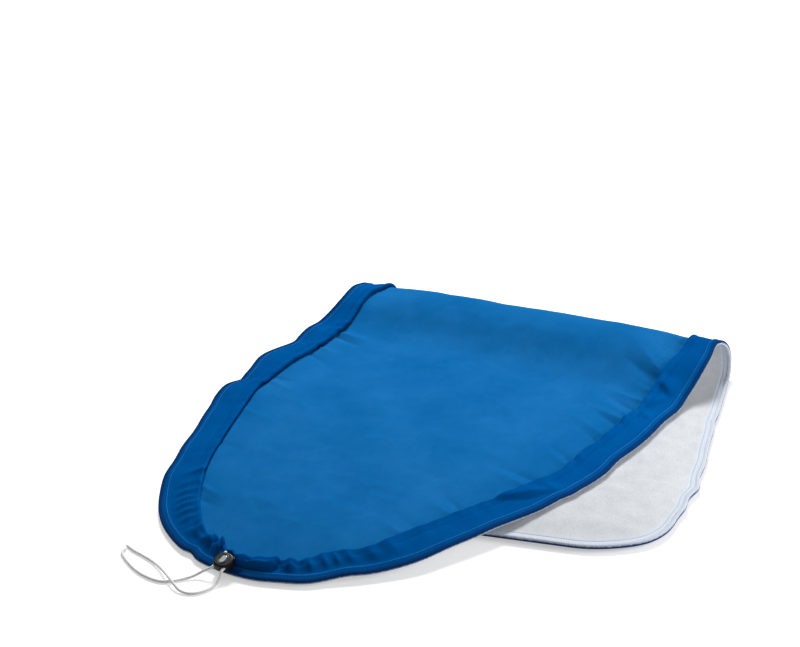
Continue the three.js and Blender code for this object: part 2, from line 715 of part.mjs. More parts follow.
// The button: a head in the window, and a flange that the spring presses up against both cords.
function lockButtonGeometry() {
  const head = roundedBlock(
    WINDOW_WIDTH - 2 * BUTTON_GAP,
    WINDOW_LENGTH - 2 * BUTTON_GAP,
    FLANGE_BOTTOM,
    LOCK_HEIGHT + BUTTON_CROWN - FLANGE_BOTTOM,
    0.6,
    BUTTON_CROWN,
  );
  const flange = box(CAVITY_WIDTH - 2 * BUTTON_GAP, FLANGE_LENGTH, FLANGE_BOTTOM, FLANGE_THICKNESS);
  const pocketRadius = SPRING_RADIUS + SPRING_WIRE;
  const pocketTop = LOCK_HEIGHT - SPRING_POCKET_ROOF;
  const pocket = new THREE.CylinderGeometry(pocketRadius, pocketRadius, pocketTop + 1, 20)
    .rotateX(Math.PI / 2)
    .translate(0, 0, (pocketTop - 1) / 2);
  return cut(join(head, flange), pocket);
}

// The coil spring from the base up into the button.
function springPoints() {
  const bottom = BASE_THICKNESS + SEAT_GAP + SPRING_WIRE / 2;
  const top = LOCK_HEIGHT - SPRING_POCKET_ROOF - SEAT_GAP - SPRING_WIRE / 2;
  const steps = 8 * SPRING_CURLS;
  return Array.from({ length: steps + 1 }, (_, i) => {
    const angle = (2 * Math.PI * i) / 8;
    const height = lerp(bottom, top, i / steps);
    return new THREE.Vector3(SPRING_RADIUS * Math.cos(angle), SPRING_RADIUS * Math.sin(angle), height);
  });
}

// The least gap of a tube to itself, between points that are not neighbours along it.
function leastSelfGap(points, thickness, apart) {
  let least = Infinity;
  points.forEach((p, i) => {
    points.slice(i + apart).forEach((q) => {
      least = Math.min(least, p.distanceTo(q) - thickness);
    });
  });
  return least;
}

function lockPieces() {
  const spring = springPoints();
  console.log("lock_spring least gap to itself", leastSelfGap(spring, SPRING_WIRE, 6).toFixed(2), "mm");
  const base = box(CAVITY_WIDTH - 2 * SEAT_GAP, CAVITY_LENGTH - 2 * SEAT_GAP, 0, BASE_THICKNESS);
  return [
    piece("lock_body", lockBodyGeometry(), 0x262628, 0.4),
    piece("lock_base", base, 0x1f1f21, 0.5),
    piece("lock_button", lockButtonGeometry(), 0xbcc6c8, 0.25),
    piece("lock_spring", tube(spring, SPRING_WIRE / 2, 5), 0xb4b6b8, 0.3, 1),
  ];
}

// The cover's own pieces set the frame: their middle is over the origin.
const cover = new THREE.Group();
cover.add(
  piece("felt_pad", ply((p) => -feltThickness(p), () => 0), 0xdde1e8, 0.95),
  piece("face_fabric", ply(() => PLY_GAP, () => PLY_GAP + FACE_THICKNESS), 0x1463aa, 0.7),
  piece("skirt_band", bandGeometry(), 0x06549f, 0.7),
  piece("overlock_edge", overlockGeometry(), 0x0b356f, 0.85),
  ...threadPieces(),
);
const middle = new THREE.Box3().setFromObject(cover).getCenter(new THREE.Vector3());

const lock = new THREE.Group();
lock.position.set(0, LOCK_INSET, 0);
lock.add(...lockPieces());
lockFrame.add(lock);

const cords = new THREE.Group();
cords.add(...cordPieces());

const part = new THREE.Group();
part.position.set(-middle.x, -middle.y, 0);
part.add(cover, cords, lockFrame);

const ironingBoardCover = new THREE.Group();
ironingBoardCover.add(part);

export default ironingBoardCover;
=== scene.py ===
"""A padded ironing board cover, folded over once, with its draw cord and cord lock.

Every cloth piece starts as places on the flat cut, and one lay carries all of them round the fold,
so that felt, face, band, edge and stitches stay on each other. Metres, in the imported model's frame.
"""

import logging
import math
from dataclasses import dataclass, field
from enum import Enum

import bmesh
import bpy
import numpy as np
from mathutils import Matrix, Vector
from mathutils.geometry import delaunay_2d_cdt


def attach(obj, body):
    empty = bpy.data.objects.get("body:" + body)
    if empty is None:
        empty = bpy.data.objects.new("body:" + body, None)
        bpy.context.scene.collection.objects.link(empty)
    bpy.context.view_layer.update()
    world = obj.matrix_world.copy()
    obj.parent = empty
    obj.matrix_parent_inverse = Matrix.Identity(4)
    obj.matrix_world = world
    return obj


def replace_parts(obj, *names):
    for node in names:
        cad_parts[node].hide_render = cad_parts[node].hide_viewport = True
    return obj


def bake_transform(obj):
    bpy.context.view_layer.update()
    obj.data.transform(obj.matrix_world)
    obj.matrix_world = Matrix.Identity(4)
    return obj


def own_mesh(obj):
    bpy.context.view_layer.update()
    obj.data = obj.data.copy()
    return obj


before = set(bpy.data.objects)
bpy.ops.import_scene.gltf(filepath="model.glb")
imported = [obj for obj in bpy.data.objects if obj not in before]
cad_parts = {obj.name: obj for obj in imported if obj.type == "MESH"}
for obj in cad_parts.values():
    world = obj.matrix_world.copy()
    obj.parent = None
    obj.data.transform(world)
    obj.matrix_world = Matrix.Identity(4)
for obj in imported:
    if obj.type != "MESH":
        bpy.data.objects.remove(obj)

LOG = logging.getLogger("cover")
MM = 0.001
TINY = 1e-12
CURVE_STEPS = 16
NOISE_SPAN = (0.3, 0.7)
Array = np.ndarray
Colour = tuple[int, int, int]
Place = tuple[float, float, float]
Piece = bpy.types.Object
Material = bpy.types.Material
Socket = bpy.types.NodeSocket


class Body(str, Enum):
    """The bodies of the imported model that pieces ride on."""

    COVER = "cover"
    LOCK = "cord_lock"


class Side(Enum):
    """The two sides of the cover, seen from the nose."""

    LEFT = -1
    RIGHT = 1


def mix(low: Array | float, high: Array | float, share: Array | float) -> Array | float:
    """Value at a share of the way from low to high."""
    return low + (high - low) * share


def ease(way: Array) -> Array:
    """Way from 0 to 1 along two joined parabolas, level at both ends."""
    way = np.clip(way, 0, 1)
    return np.where(way < 0.5, 2 * way**2, 1 - 2 * (1 - way) ** 2)


def smoothstep(value: Array, start: float, end: float) -> Array:
    """Way from 0 at start to 1 at end, level at both."""
    way = np.clip((value - start) / (end - start), 0, 1)
    return way * way * (3 - 2 * way)


def unit(vectors: Array) -> Array:
    """Vectors of length 1 with the same directions."""
    return vectors / np.maximum(np.linalg.norm(vectors, axis=-1, keepdims=True), TINY)


def bell(distance: Array, width: Array | float) -> Array:
    """Round hump, 1 high at no distance, that dies out over the width."""
    return np.exp(-((distance / width) ** 2))


def ways_along(points: Array) -> Array:
    """Way of each point from the first, along a line of points."""
    return np.concatenate([[0], np.cumsum(np.linalg.norm(np.diff(points, axis=0), axis=1))])


def run_length(points: Array) -> float:
    """Length of a line of points."""
    return float(np.linalg.norm(np.diff(points, axis=0), axis=1).sum())


def linear(colour: Colour) -> tuple[float, float, float, float]:
    """Colour for a socket.

    Args:
        colour: Display levels from 0 to 255.

    Returns:
        Linear red, green and blue, and alpha.
    """
    shares = [level / 255 for level in colour]
    steps = [s / 12.92 if s <= 0.04045 else ((s + 0.055) / 1.055) ** 2.4 for s in shares]
    return (*steps, 1.0)


@dataclass(frozen=True)
class SoftNoise:
    """Smooth noise from waves in seeded directions.

    Attributes:
        strength: Size of most of its values, above and below zero.
        wavelength: Usual distance between two crests.
        seed: Start of the random numbers.
        waves: How many waves are added.
        spread: Shortest and longest wave, as shares of the usual one.
    """

    strength: float
    wavelength: float
    seed: int
    waves: int = 14
    spread: tuple[float, float] = (0.7, 1.6)

    def at(self, places: Array) -> Array:
        """Values at places.

        Args:
            places: Points, one per row.

        Returns:
            A value per point.
        """
        pick = np.random.default_rng(self.seed)
        ways = unit(pick.normal(size=(self.waves, places.shape[1])))
        rates = 2 * math.pi / (self.wavelength * pick.uniform(*self.spread, self.waves))
        phases = pick.uniform(0, 2 * math.pi, self.waves)
        noise = np.cos(places @ ways.T * rates + phases).sum(axis=1) / math.sqrt(self.waves)
        return self.strength * noise


def linked(name: str, data: bpy.types.ID) -> Piece:
    """New object in the scene.

    Args:
        name: Name of the object.
        data: Its mesh, light or camera.

    Returns:
        The object.
    """
    piece = bpy.data.objects.new(name, data)
    bpy.context.scene.collection.objects.link(piece)
    return piece


def aimed(place: Place, aim: Place) -> Matrix:
    """Placing of a light or camera that looks at a point."""
    turn = (Vector(aim) - Vector(place)).to_track_quat("-Z", "Y")
    return Matrix.Translation(place) @ turn.to_matrix().to_4x4()


def smooth_run(points: Array, step: float) -> Array:
    """Points at even steps along a centripetal curve through given points.

    Args:
        points: Points that the curve passes through.
        step: Distance between two points of the result.

    Returns:
        The points along the curve, both ends kept.
    """
    ends = [2 * points[0] - points[1], *points, 2 * points[-1] - points[-2]]
    fine = []
    for p0, p1, p2, p3 in zip(ends, ends[1:], ends[2:], ends[3:]):
        gaps = [math.sqrt(np.linalg.norm(b - a)) for a, b in ((p0, p1), (p1, p2), (p2, p3))]
        slope1 = ((p1 - p0) / gaps[0] - (p2 - p0) / (gaps[0] + gaps[1]) + (p2 - p1) / gaps[1]) * gaps[1]
        slope2 = ((p2 - p1) / gaps[1] - (p3 - p1) / (gaps[1] + gaps[2]) + (p3 - p2) / gaps[2]) * gaps[1]
        for t in np.linspace(0, 1, CURVE_STEPS, endpoint=False):
            rise = t * t * (3 - 2 * t)
            fine.append(mix(p1, p2, rise) + (t - 2 * t**2 + t**3) * slope1 + (t**3 - t**2) * slope2)
    fine = np.array([*fine, points[-1]])
    ways = ways_along(fine)
    even = np.linspace(0, ways[-1], max(3, round(ways[-1] / step) + 1))
    return np.column_stack([np.interp(even, ways, fine[:, axis]) for axis in range(3)])


@dataclass(frozen=True)
class CoverCut:
    """The flat cut: straight-ended tail with round corners, slightly tapered sides, elliptic nose."""

    length: float = 1140 * MM
    width: float = 470 * MM
    tail_width: float = 454 * MM
    tail_radius: float = 106 * MM
    nose_length: float = 425 * MM
    nose_points: int = 400
    side_points: int = 300
    corner_points: int = 120

    def side(self, from_tail: Array) -> Array:
        """Half width of the tapered sides.

        Args:
            from_tail: Distances from the tail's end.

        Returns:
            Distances from the middle line.
        """
        nose_start = self.length - self.nose_length
        back = (nose_start - from_tail) / nose_start
        return self.width / 2 - (self.width - self.tail_width) / 2 * back**2

    def loop(self, mouth_side: float) -> Array:
        """Outline from the cord's mouth, right side first, back to the mouth.

        Args:
            mouth_side: Distance of the mouth to the right of the nose's tip.

        Returns:
            Close points, each a distance from the tail and one to the right.
        """
        start = math.asin(mouth_side / (self.width / 2))
        angles = np.linspace(0, math.pi / 2, self.nose_points)
        nose_start = self.length - self.nose_length
        forward = np.cos(angles) * self.nose_length + nose_start
        nose = np.column_stack([forward, np.sin(angles) * self.width / 2])
        along = np.linspace(nose_start, self.tail_radius, self.side_points)[1:]
        sides = np.column_stack([along, self.side(along)])
        turn = np.linspace(0, math.pi / 2, self.corner_points)[1:]
        corner = self.tail_radius * (1 - np.sin(turn))
        corners = np.column_stack([corner, self.side(corner) - self.tail_radius * (1 - np.cos(turn))])
        right = np.vstack([nose, sides, corners])
        left = right[::-1] * [1, -1]
        tip = int(np.searchsorted(angles, start))
        return np.vstack([right[tip:], left[:-1], right[:tip]])


@dataclass
class EdgePath:
    """Evenly spaced stations round the edge, counted from the cord's mouth to the right."""

    cut: CoverCut
    spacing: float = 2 * MM
    mouth_side: float = 9 * MM
    at_once: int = 2000
    length: float = field(init=False)
    places: Array = field(init=False)
    inward: Array = field(init=False)

    def __post_init__(self) -> None:
        """Work out the stations from the cut."""
        loop = self.cut.loop(self.mouth_side)
        closed = np.vstack([loop, loop[:1]])
        ways = ways_along(closed)
        self.length = float(ways[-1])
        count = round(self.length / self.spacing)
        even = np.arange(count) * self.length / count
        self.places = np.column_stack([np.interp(even, ways, closed[:, axis]) for axis in range(2)])
        ahead = unit(np.roll(self.places, -1, axis=0) - np.roll(self.places, 1, axis=0))
        self.inward = np.column_stack([-ahead[:, 1], ahead[:, 0]])

    def at(self, travel: Array, inset: Array | float) -> Array:
        """Places on the flat cut, at ways along the edge and distances in from it."""
        place = self.between(self.places, travel)
        return place + self.inward_at(travel) * np.broadcast_to(inset, len(place))[:, None]

    def inward_at(self, travel: Array) -> Array:
        """Directions into the cover at ways along the edge."""
        return unit(self.between(self.inward, travel))

    def between(self, values: Array, travel: Array) -> Array:
        """Values between the stations.

        Args:
            values: One row of values per station.
            travel: Ways along the edge.

        Returns:
            One row of values per way.
        """
        count = len(self.places)
        spot = np.asarray(travel) / self.length * count
        first = np.floor(spot).astype(int)
        return mix(values[first % count], values[(first + 1) % count], (spot - first)[:, None])

    def nearest(self, flat: Array) -> tuple[Array, Array]:
        """Where places lie along the edge and in from it.

        Args:
            flat: Places on the flat cut.

        Returns:
            Ways along the edge, below zero to the left of the mouth, and distances in from it.
        """
        travel = np.empty(len(flat))
        depth = np.empty(len(flat))
        for part in np.array_split(np.arange(len(flat)), max(1, len(flat) // self.at_once)):
            gaps = flat[part][:, None, :] - self.places[None, :, :]
            best = np.argmin((gaps**2).sum(axis=2), axis=1)
            away = flat[part] - self.places[best]
            depth[part] = (away * self.inward[best]).sum(axis=1)
            travel[part] = self.signed(best * self.length / len(self.places))
        return travel, depth

    @property
    def area(self) -> float:
        """Area of the flat cut."""
        x, y = self.places.T
        return abs(float(np.sum(x * np.roll(y, -1) - y * np.roll(x, -1)))) / 2

    def signed(self, travel: Array) -> Array:
        """Ways along the edge from the mouth, below zero to its left."""
        return (travel + self.length / 2) % self.length - self.length / 2


@dataclass(frozen=True)
class EdgeBump:
    """A smooth lump or shift of the cover along its edge, in millimetres.

    Attributes:
        travel: Way along the edge to its middle.
        size: How far up, out or in it goes there; below zero the other way.
        spread: Half width along the edge.
        reach: How far in it dies out.
        inset: Distance in from the edge to its middle.
    """

    travel: float
    size: float
    spread: float
    reach: float = 34
    inset: float = 0

    def at(self, travel: Array, depth: Array | float = 0.0) -> Array:
        """Size at places by the edge.

        Args:
            travel: Ways along the edge.
            depth: Distances in from it.

        Returns:
            One size per place, in metres.
        """
        along = bell(travel - self.travel * MM, self.spread * MM)
        inwards = bell(np.maximum(depth, 0) - self.inset * MM, self.reach * MM)
        return self.size * MM * along * inwards


EDGE_RIPPLES = tuple(EdgeBump(*row) for row in (
    (-716, -12, 18, 45), (742, -4, 30, 60), (730, -12, 34, 24, 44), (-690, -4, 30, 20, 44),
    (-650, 1.5, 16, 45), (-592, 3, 17, 45), (-562, -2, 10, 45), (-507, 4, 28, 45),
    (-449, -2, 9, 45), (-415, 3.2, 26, 45), (-205, 2, 25, 45), (130, 1.5, 16, 45),
    (300, 1.5, 22, 45),
))


EDGE_SHIFTS = tuple(EdgeBump(*row) for row in (
    (-655, -2.5, 20), (-550, -3.5, 14), (-497, 5, 22), (-442, -2.8, 10), (-420, 5, 20),
    (-394, 3, 16), (-248, -4, 30), (36, 2.5, 26), (150, 2.2, 24), (405, 2, 12), (468, 3, 20),
    (695, 2, 30), (752, -7, 22), (-310, -6.5, 42), (-130, 3, 50), (-50, -3.5, 9), (85, 4.5, 25),
    (195, 5, 36), (365, 3, 28), (435, 6.5, 36), (550, 5.5, 56), (635, 3, 24), (935, -1.6, 14, 20),
    (1030, 2, 26), (1084, 3, 13, 20), (1112, -3, 14, 20), (1150, -6, 28), (1215, 2.5, 26),
))


@dataclass(frozen=True)
class Crease:
    """A crease of the face, from its tip in the field to the hem, in millimetres.

    Attributes:
        tip: Where it dies out, from the tail and across.
        hem: Where it meets the hem, from the tail and across.
        height: Rise at the hem, or fall below zero.
        width: Half width at the hem.
        widening: How many times as wide it is at the tip.
        run_out: Share of its length, past the tip, at which nothing of it is left.
        sharp: 2 for a round crest, 1 for a pinched one.
    """

    tip: tuple[float, float]
    hem: tuple[float, float]
    height: float
    width: float
    widening: float = 2.6
    run_out: float = -0.2
    sharp: float = 1.4

    def rise(self, flat: Array) -> Array:
        """Rise of the crease.

        Args:
            flat: Places on the flat cut.

        Returns:
            One rise per place, in metres.
        """
        tip = np.array(self.tip) * MM
        line = np.array(self.hem) * MM - tip
        share = (flat - tip) @ line / (line @ line)
        away = np.abs((flat - tip) @ np.array([-line[1], line[0]])) / np.linalg.norm(line)
        width = self.width * MM * mix(self.widening, 1.0, np.clip(share, 0, 1))
        risen = smoothstep(share, self.run_out, 1.0)
        return self.height * MM * risen * np.exp(-((away / width) ** self.sharp))


FIELD_CREASES = tuple(Crease(*row) for row in (
    ((518, 128), (553, 190), 3.6, 5), ((548, 134), (567, 200), -6.5, 3.4),
    ((576, 158), (586, 198), 3, 4), ((602, 136), (608, 198), 4, 3.6),
    ((612, 150), (631, 202), -4.5, 3), ((624, 140), (645, 200), 2.4, 4),
    ((645, 140), (658, 196), 3.2, 3.6), ((653, 156), (672, 203), -4, 3),
    ((674, 136), (704, 203), 3, 4), ((690, 150), (720, 205), -2.4, 3.4),
    ((748, 152), (776, 206), -3.6, 3.2), ((760, 156), (788, 206), 3, 4),
    ((822, 116), (829, 190), -3, 4), ((836, 122), (846, 190), 2.8, 4.5),
    ((906, 116), (931, 164), -3.2, 3.2), ((928, 110), (942, 160), 3, 4),
    ((966, 92), (984, 146), -1.8, 4), ((984, 84), (1003, 138), 3.2, 4),
    ((652, -142), (652, -194), 4.2, 3.6), ((670, -142), (661, -194), -4, 3),
    ((701, -156), (697, -198), 3.6, 3.6), ((734, -148), (714, -198), -3.6, 3.2),
    ((810, -142), (796, -198), 4, 3.6), ((785, -156), (787, -196), -3.6, 3),
    ((880, -116), (868, -184), 2.4, 5), ((950, -96), (944, -160), -2.2, 5),
    ((1040, -62), (1030, -110), 3.4, 4), ((1054, -54), (1050, -98), -2.6, 3.6),
))


@dataclass
class FoldedLay:
    """How the flat cover lies: tail half felt side up, a round fold, nose half on top blue side up.

    Levels are those of the face between felt and cloth; radii and falls belong to the fold's two ends.
    Creases end at the first of two insets, or at the second along the narrow hem, which is given by
    its middle and its half length.
    """

    edge: EdgePath
    fold_from_tail: float = 488 * MM
    skew: float = math.radians(-9.6)
    radii: tuple[float, float] = (16 * MM, 23 * MM)
    falls: tuple[float, float] = (104 * MM, 120 * MM)
    fold_spare: float = 2 * MM
    lower_level: float = 6.5 * MM
    upper_level: float = 15.1 * MM
    ground_level: float = 4.5 * MM
    drop_start: float = 10 * MM
    drop_length: float = 150 * MM
    origin: tuple[float, float] = (-5.171 * MM, 314.276 * MM)
    ripples: tuple[EdgeBump, ...] = EDGE_RIPPLES
    shifts: tuple[EdgeBump, ...] = EDGE_SHIFTS
    creases: tuple[Crease, ...] = FIELD_CREASES
    crease_share: float = 0.72
    deepest_crease: float = -3.4 * MM
    crease_inset: float = 22 * MM
    crease_ends: tuple[float, float] = (36 * MM, 25 * MM)
    narrow_hem: tuple[float, float] = (530 * MM, 140 * MM)
    crease_fade: float = 12 * MM
    crease_floor: float = -3.5 * MM
    droop: float = 0.5 * MM
    droop_width: float = 4 * MM
    outline_skip: int = 4
    chart_step: float = 4 * MM
    chart_size: int = 200
    chart_start: tuple[float, float] = (-40 * MM, -400 * MM)
    chart: Array = field(init=False)

    def __post_init__(self) -> None:
        """Chart how far places on the ground are from the lower half, once for all plies."""
        steps = np.arange(self.chart_size) * self.chart_step
        sides = [start + steps for start in self.chart_start]
        spots = [part.ravel() for part in np.meshgrid(*sides, indexing="ij")]
        self.chart = self.measured_outside(*spots).reshape(self.chart_size, self.chart_size)

    @property
    def fold_zone(self) -> float:
        """Distance from the fold line in which the cover may be round."""
        return math.pi / 2 * self.radii[1] + self.fold_spare

    def to_fold(self, flat: Array) -> tuple[Array, Array]:
        """Where places lie from the fold line.

        Args:
            flat: Places on the flat cut.

        Returns:
            Distances past the fold line, towards the nose, and places along it.
        """
        past = flat[:, 0] - self.fold_from_tail
        cosine, sine = math.cos(self.skew), math.sin(self.skew)
        return past * cosine - flat[:, 1] * sine, past * sine + flat[:, 1] * cosine

    def fold_at(self, along: Array) -> tuple[Array, Array]:
        """Radius of the fold, and the length of the slope behind it."""
        share = np.clip(along / self.edge.cut.width + 0.5, 0, 1)
        return mix(*self.radii, share), mix(*self.falls, share)

    def outside_lower(self, reach: Array, along: Array) -> Array:
        """Distance out of the lower half's outline on the ground, read between the chart's places.

        Args:
            reach: Distances from the fold towards the viewer.
            along: Places along the fold.

        Returns:
            Signed distances.
        """
        spots = [(way - start) / self.chart_step for way, start in zip((reach, along), self.chart_start)]
        row, column = (np.clip(spot.astype(int), 0, self.chart_size - 2) for spot in spots)
        down, right = spots[0] - row, spots[1] - column
        near = mix(self.chart[row, column], self.chart[row, column + 1], right)
        far = mix(self.chart[row + 1, column], self.chart[row + 1, column + 1], right)
        return mix(near, far, down)

    def measured_outside(self, reach: Array, along: Array) -> Array:
        """Distance out of the lower half's outline on the ground, below zero inside it.

        Args:
            reach: Distances from the fold towards the viewer.
            along: Places along the fold.

        Returns:
            Signed distances.
        """
        past, across = self.to_fold(self.edge.places[::self.outline_skip])
        lower = past < -self.fold_zone
        radius, _ = self.fold_at(across[lower])
        outline = np.column_stack([(1 - math.pi / 2) * radius - past[lower], across[lower]])
        best = np.full(len(reach), np.inf)
        inside = np.zeros(len(reach), bool)
        for (x, y), (dx, dy) in zip(outline, np.roll(outline, -1, axis=0) - outline):
            share = np.clip(((reach - x) * dx + (along - y) * dy) / (dx * dx + dy * dy), 0, 1)
            best = np.minimum(best, np.hypot(reach - x - share * dx, along - y - share * dy))
            crossed = (y > along) != (y + dy > along)
            inside ^= crossed & (reach < x + (along - y) * dx / (dy or TINY))
        return np.where(inside, -best, best)

    def boundary(self, past: Array, along: Array) -> Array:
        """Where the face between felt and cloth lies.

        Args:
            past: Distances past the fold line.
            along: Places along the fold line.

        Returns:
            Points in the row frame.
        """
        radius, fall = self.fold_at(along)
        quarter = math.pi / 2 * radius
        turn = np.clip(past / radius, -math.pi / 2, math.pi / 2)
        reach = radius + np.abs(past) - quarter
        in_fold = np.abs(past) <= quarter
        drop = ease((self.outside_lower(reach, along) - self.drop_start) / self.drop_length)
        level = mix(self.upper_level, self.ground_level, drop)
        crest = self.lower_level + 2 * radius
        upper = mix(crest, level, ease((past - quarter) / fall))
        height = np.where(past < 0, self.lower_level, upper)
        height = np.where(in_fold, self.lower_level + radius * (1 + np.sin(turn)), height)
        forward = np.where(in_fold, radius * (np.cos(turn) - 1), -reach)
        return np.column_stack([along + self.origin[0], forward + self.origin[1], height])

    def place(
        self, flat: Array, height: Array | float, by_edge: tuple[Array, Array] | None = None
    ) -> Array:
        """Points of a ply of the folded cover.

        Args:
            flat: Places on the flat cut.
            height: Distances from the face between felt and cloth, above zero on the cloth's side.
            by_edge: Ways along the edge and distances in from it; without them no lumps are added.

        Returns:
            Points in the row frame.
        """
        if by_edge is not None:
            out = sum(shift.at(*by_edge) for shift in self.shifts)
            flat = flat - self.edge.inward_at(by_edge[0]) * out[:, None]
        past, along = self.to_fold(flat)
        step = 0.5 * MM
        ahead = self.boundary(past + step, along) - self.boundary(past - step, along)
        across = self.boundary(past, along + step) - self.boundary(past, along - step)
        points = self.boundary(past, along)
        points += unit(np.cross(ahead, across)) * np.broadcast_to(height, len(flat))[:, None]
        if by_edge is not None:
            rise = sum(ripple.at(*by_edge) for ripple in self.ripples)
            rise = rise - self.droop * bell(np.maximum(by_edge[1], 0), self.droop_width)
            rise = rise + self.creased(flat, *by_edge) * smoothstep(height, self.crease_floor, 0)
            points[:, 2] += rise * smoothstep(past, 0, self.fold_zone)
        return points

    def creased(self, flat: Array, travel: Array, depth: Array) -> Array:
        """Rise of the field's creases, which die out at the hem.

        Args:
            flat: Places on the flat cut.
            travel: Their ways along the edge.
            depth: Their distances in from it.

        Returns:
            One rise per place.
        """
        rise = np.zeros(len(flat))
        inner = depth > self.crease_inset
        places = flat[inner]
        whole = np.maximum(sum(crease.rise(places) for crease in self.creases), self.deepest_crease)
        middle, half_length = self.narrow_hem
        narrow = np.exp(-(((travel[inner] - middle) / half_length) ** 4))
        past_hem = depth[inner] - mix(*self.crease_ends, narrow)
        rise[inner] = self.crease_share * whole * smoothstep(past_hem, 0, self.crease_fade)
        return rise


@dataclass(frozen=True)
class Gather:
    """A fold that the drawn hem pushes up in the band, in millimetres.

    Attributes:
        travel: Way along the edge to its crest, at the hem.
        height: Rise of the crest.
        width: Half width at the hem.
        lean: How far the crest wanders along the edge from the hem to the seam.
        sharp: 2 for a round crest, 1 for a pinched one.
        shoulder: Share of the way from the seam to the hem at which it is fully risen.
        fade: How much of it is gone again at the hem.
        fade_span: Shares of the way from the seam to the hem between which it goes.
    """

    travel: float
    height: float
    width: float
    lean: float = 0
    sharp: float = 1.6
    shoulder: float = 1.0
    fade: float = 0.0
    fade_span: tuple[float, float] = (0.6, 0.95)

    def rise(self, travel: Array, share: Array) -> Array:
        """Rise of the fold.

        Args:
            travel: Ways along the edge.
            share: Shares of the way from the seam to the hem.

        Returns:
            One rise per place, in metres.
        """
        along = np.abs(travel - self.travel * MM - self.lean * MM * (1 - share))
        kept = 1 - self.fade * smoothstep(share, *self.fade_span)
        profile = smoothstep(share, 0, self.shoulder) * kept
        return self.height * MM * profile * np.exp(-((along / (self.width * MM)) ** self.sharp))


HAND_GATHERS = tuple(Gather(*row) for row in (
    (-14, 3.5, 5, 4), (-21, -6, 3.5, 6, 1.4, 0.8), (-29, 6.5, 5, 8, 1.3), (-38, -6, 4, 4, 1.4, 0.8),
    (-47, 3.5, 5, 6, 1.4), (-60, -4.5, 10, -4, 2.0, 0.6), (-78, 3.5, 8, -6, 2.0),
    (-90, -3, 4, 0, 1.4), (-108, 3.2, 5, 3, 1.6, 0.5, 0.85), (-124, 3.0, 4.5, 3, 1.6, 0.5, 0.85),
    (-139, 3.4, 5, 4, 1.6, 0.5, 0.85), (-153, 2.8, 4.5, 5, 1.6, 0.5, 0.85),
    (-168, 3.2, 5.5, 6, 1.6, 0.5, 0.85), (-186, 2.0, 6, 6, 1.6, 0.5, 0.7), (-206, 4.0, 9, 4, 1.3),
    (14, 2.0, 5, 0, 1.6, 0.3), (25, -2, 4, -4, 1.6), (34, 2.0, 12, -6, 2.4, 0.4, 0.3),
    (53, 3.0, 5, -8, 1.2, 0.7), (60, -4.5, 4.5, -8, 1.4, 0.5), (70, 4, 6, -3, 1.4, 0.6, 0.3),
    (79, -2.5, 4), (90, 3.5, 5, 3, 1.5, 0.5, 0.6), (106, 3.2, 5, 4, 1.5, 0.5, 0.7),
    (119, 3.2, 4.5, 4, 1.5, 0.5, 0.7), (134, 2.4, 6, 4, 1.6, 0.5, 0.8),
    (158, 3, 9, 5, 1.6, 0.6, 0.5), (182, 2.5, 9, 5, 1.6, 0.6, 0.5), (-560, 2.5, 8, 12),
    (-600, 3, 8, 14), (-618, 2.5, 6, 14),
))


@dataclass(frozen=True)
class Tuck:
    """A fold across the band with a steep front and a longer back, in millimetres.

    Attributes:
        start: One end of its crest, along the edge and in from it.
        end: The other end, along the edge and in from it.
        height: Rise of the crest.
        front: Width of the steep side.
        back: Width of the other side.
        taper: How fast the crest rises from its ends; below 1 it is full for longer.
    """

    start: tuple[float, float]
    end: tuple[float, float]
    height: float
    front: float
    back: float
    taper: float = 0.8

    def rise(self, travel: Array, inset: Array) -> Array:
        """Rise of the fold.

        Args:
            travel: Ways along the edge.
            inset: Distances in from it.

        Returns:
            One rise per place, in metres.
        """
        line = (np.array(self.end) - np.array(self.start)) * MM
        span = np.linalg.norm(line)
        along, inwards = travel - self.start[0] * MM, inset - self.start[1] * MM
        share = np.clip((along * line[0] + inwards * line[1]) / span**2, 0, 1)
        ahead = (along * line[1] - inwards * line[0]) / span
        width = np.where(ahead > 0, self.front * MM, self.back * MM)
        return self.height * MM * np.sin(math.pi * share) ** self.taper * bell(ahead, width)


BAND_TUCKS = tuple(Tuck(*row) for row in (
    ((-80, 32), (-16, 25), 6.5, 9, 8), ((-8, 37), (19, 37), 4.2, 7, 7),
    ((0, 7), (62, 30), 5, 3.5, 11), ((330, 41), (398, 13), 6.2, 3.6, 12),
    ((390, 34), (400, 8), 2.2, 4, 10), ((592, 33), (599, 13), 2.6, 4, 10),
    ((614, 34), (648, 20), 4, 4.5, 10), ((670, 42), (655, 14), 4, 5, 12),
    ((-640, 30), (-520, 26), 1.8, 8, 7), ((-500, 30), (-360, 24), 1.6, 8, 7),
))


HEM_SHIFTS = tuple(EdgeBump(*row) for row in (
    (-675, -11, 48), (-445, -4, 40), (-300, 5, 80), (-190, 3, 50), (-66, -6, 30), (2, 3, 9),
    (10, -4, 7), (34, -8, 22), (78, -10, 30), (155, -9, 40), (356, -4, 30), (428, -9, 40),
    (520, -7, 50), (608, -6, 44),
))


@dataclass(frozen=True)
class Draw:
    """What the drawn cord does to the hem on both sides of its mouth.

    Attributes:
        pull: How far the hem is pulled towards the lock.
        rise: How high the hem is lifted.
        bulge: How far the cloth behind it bulges above that.
        fade: Distance from the mouth over which it dies out.
    """

    pull: float
    rise: float
    bulge: float
    fade: float

    def strength(self, past_mouth: Array) -> Array:
        """Share that is left at distances past the mouth."""
        return bell(past_mouth, self.fade)


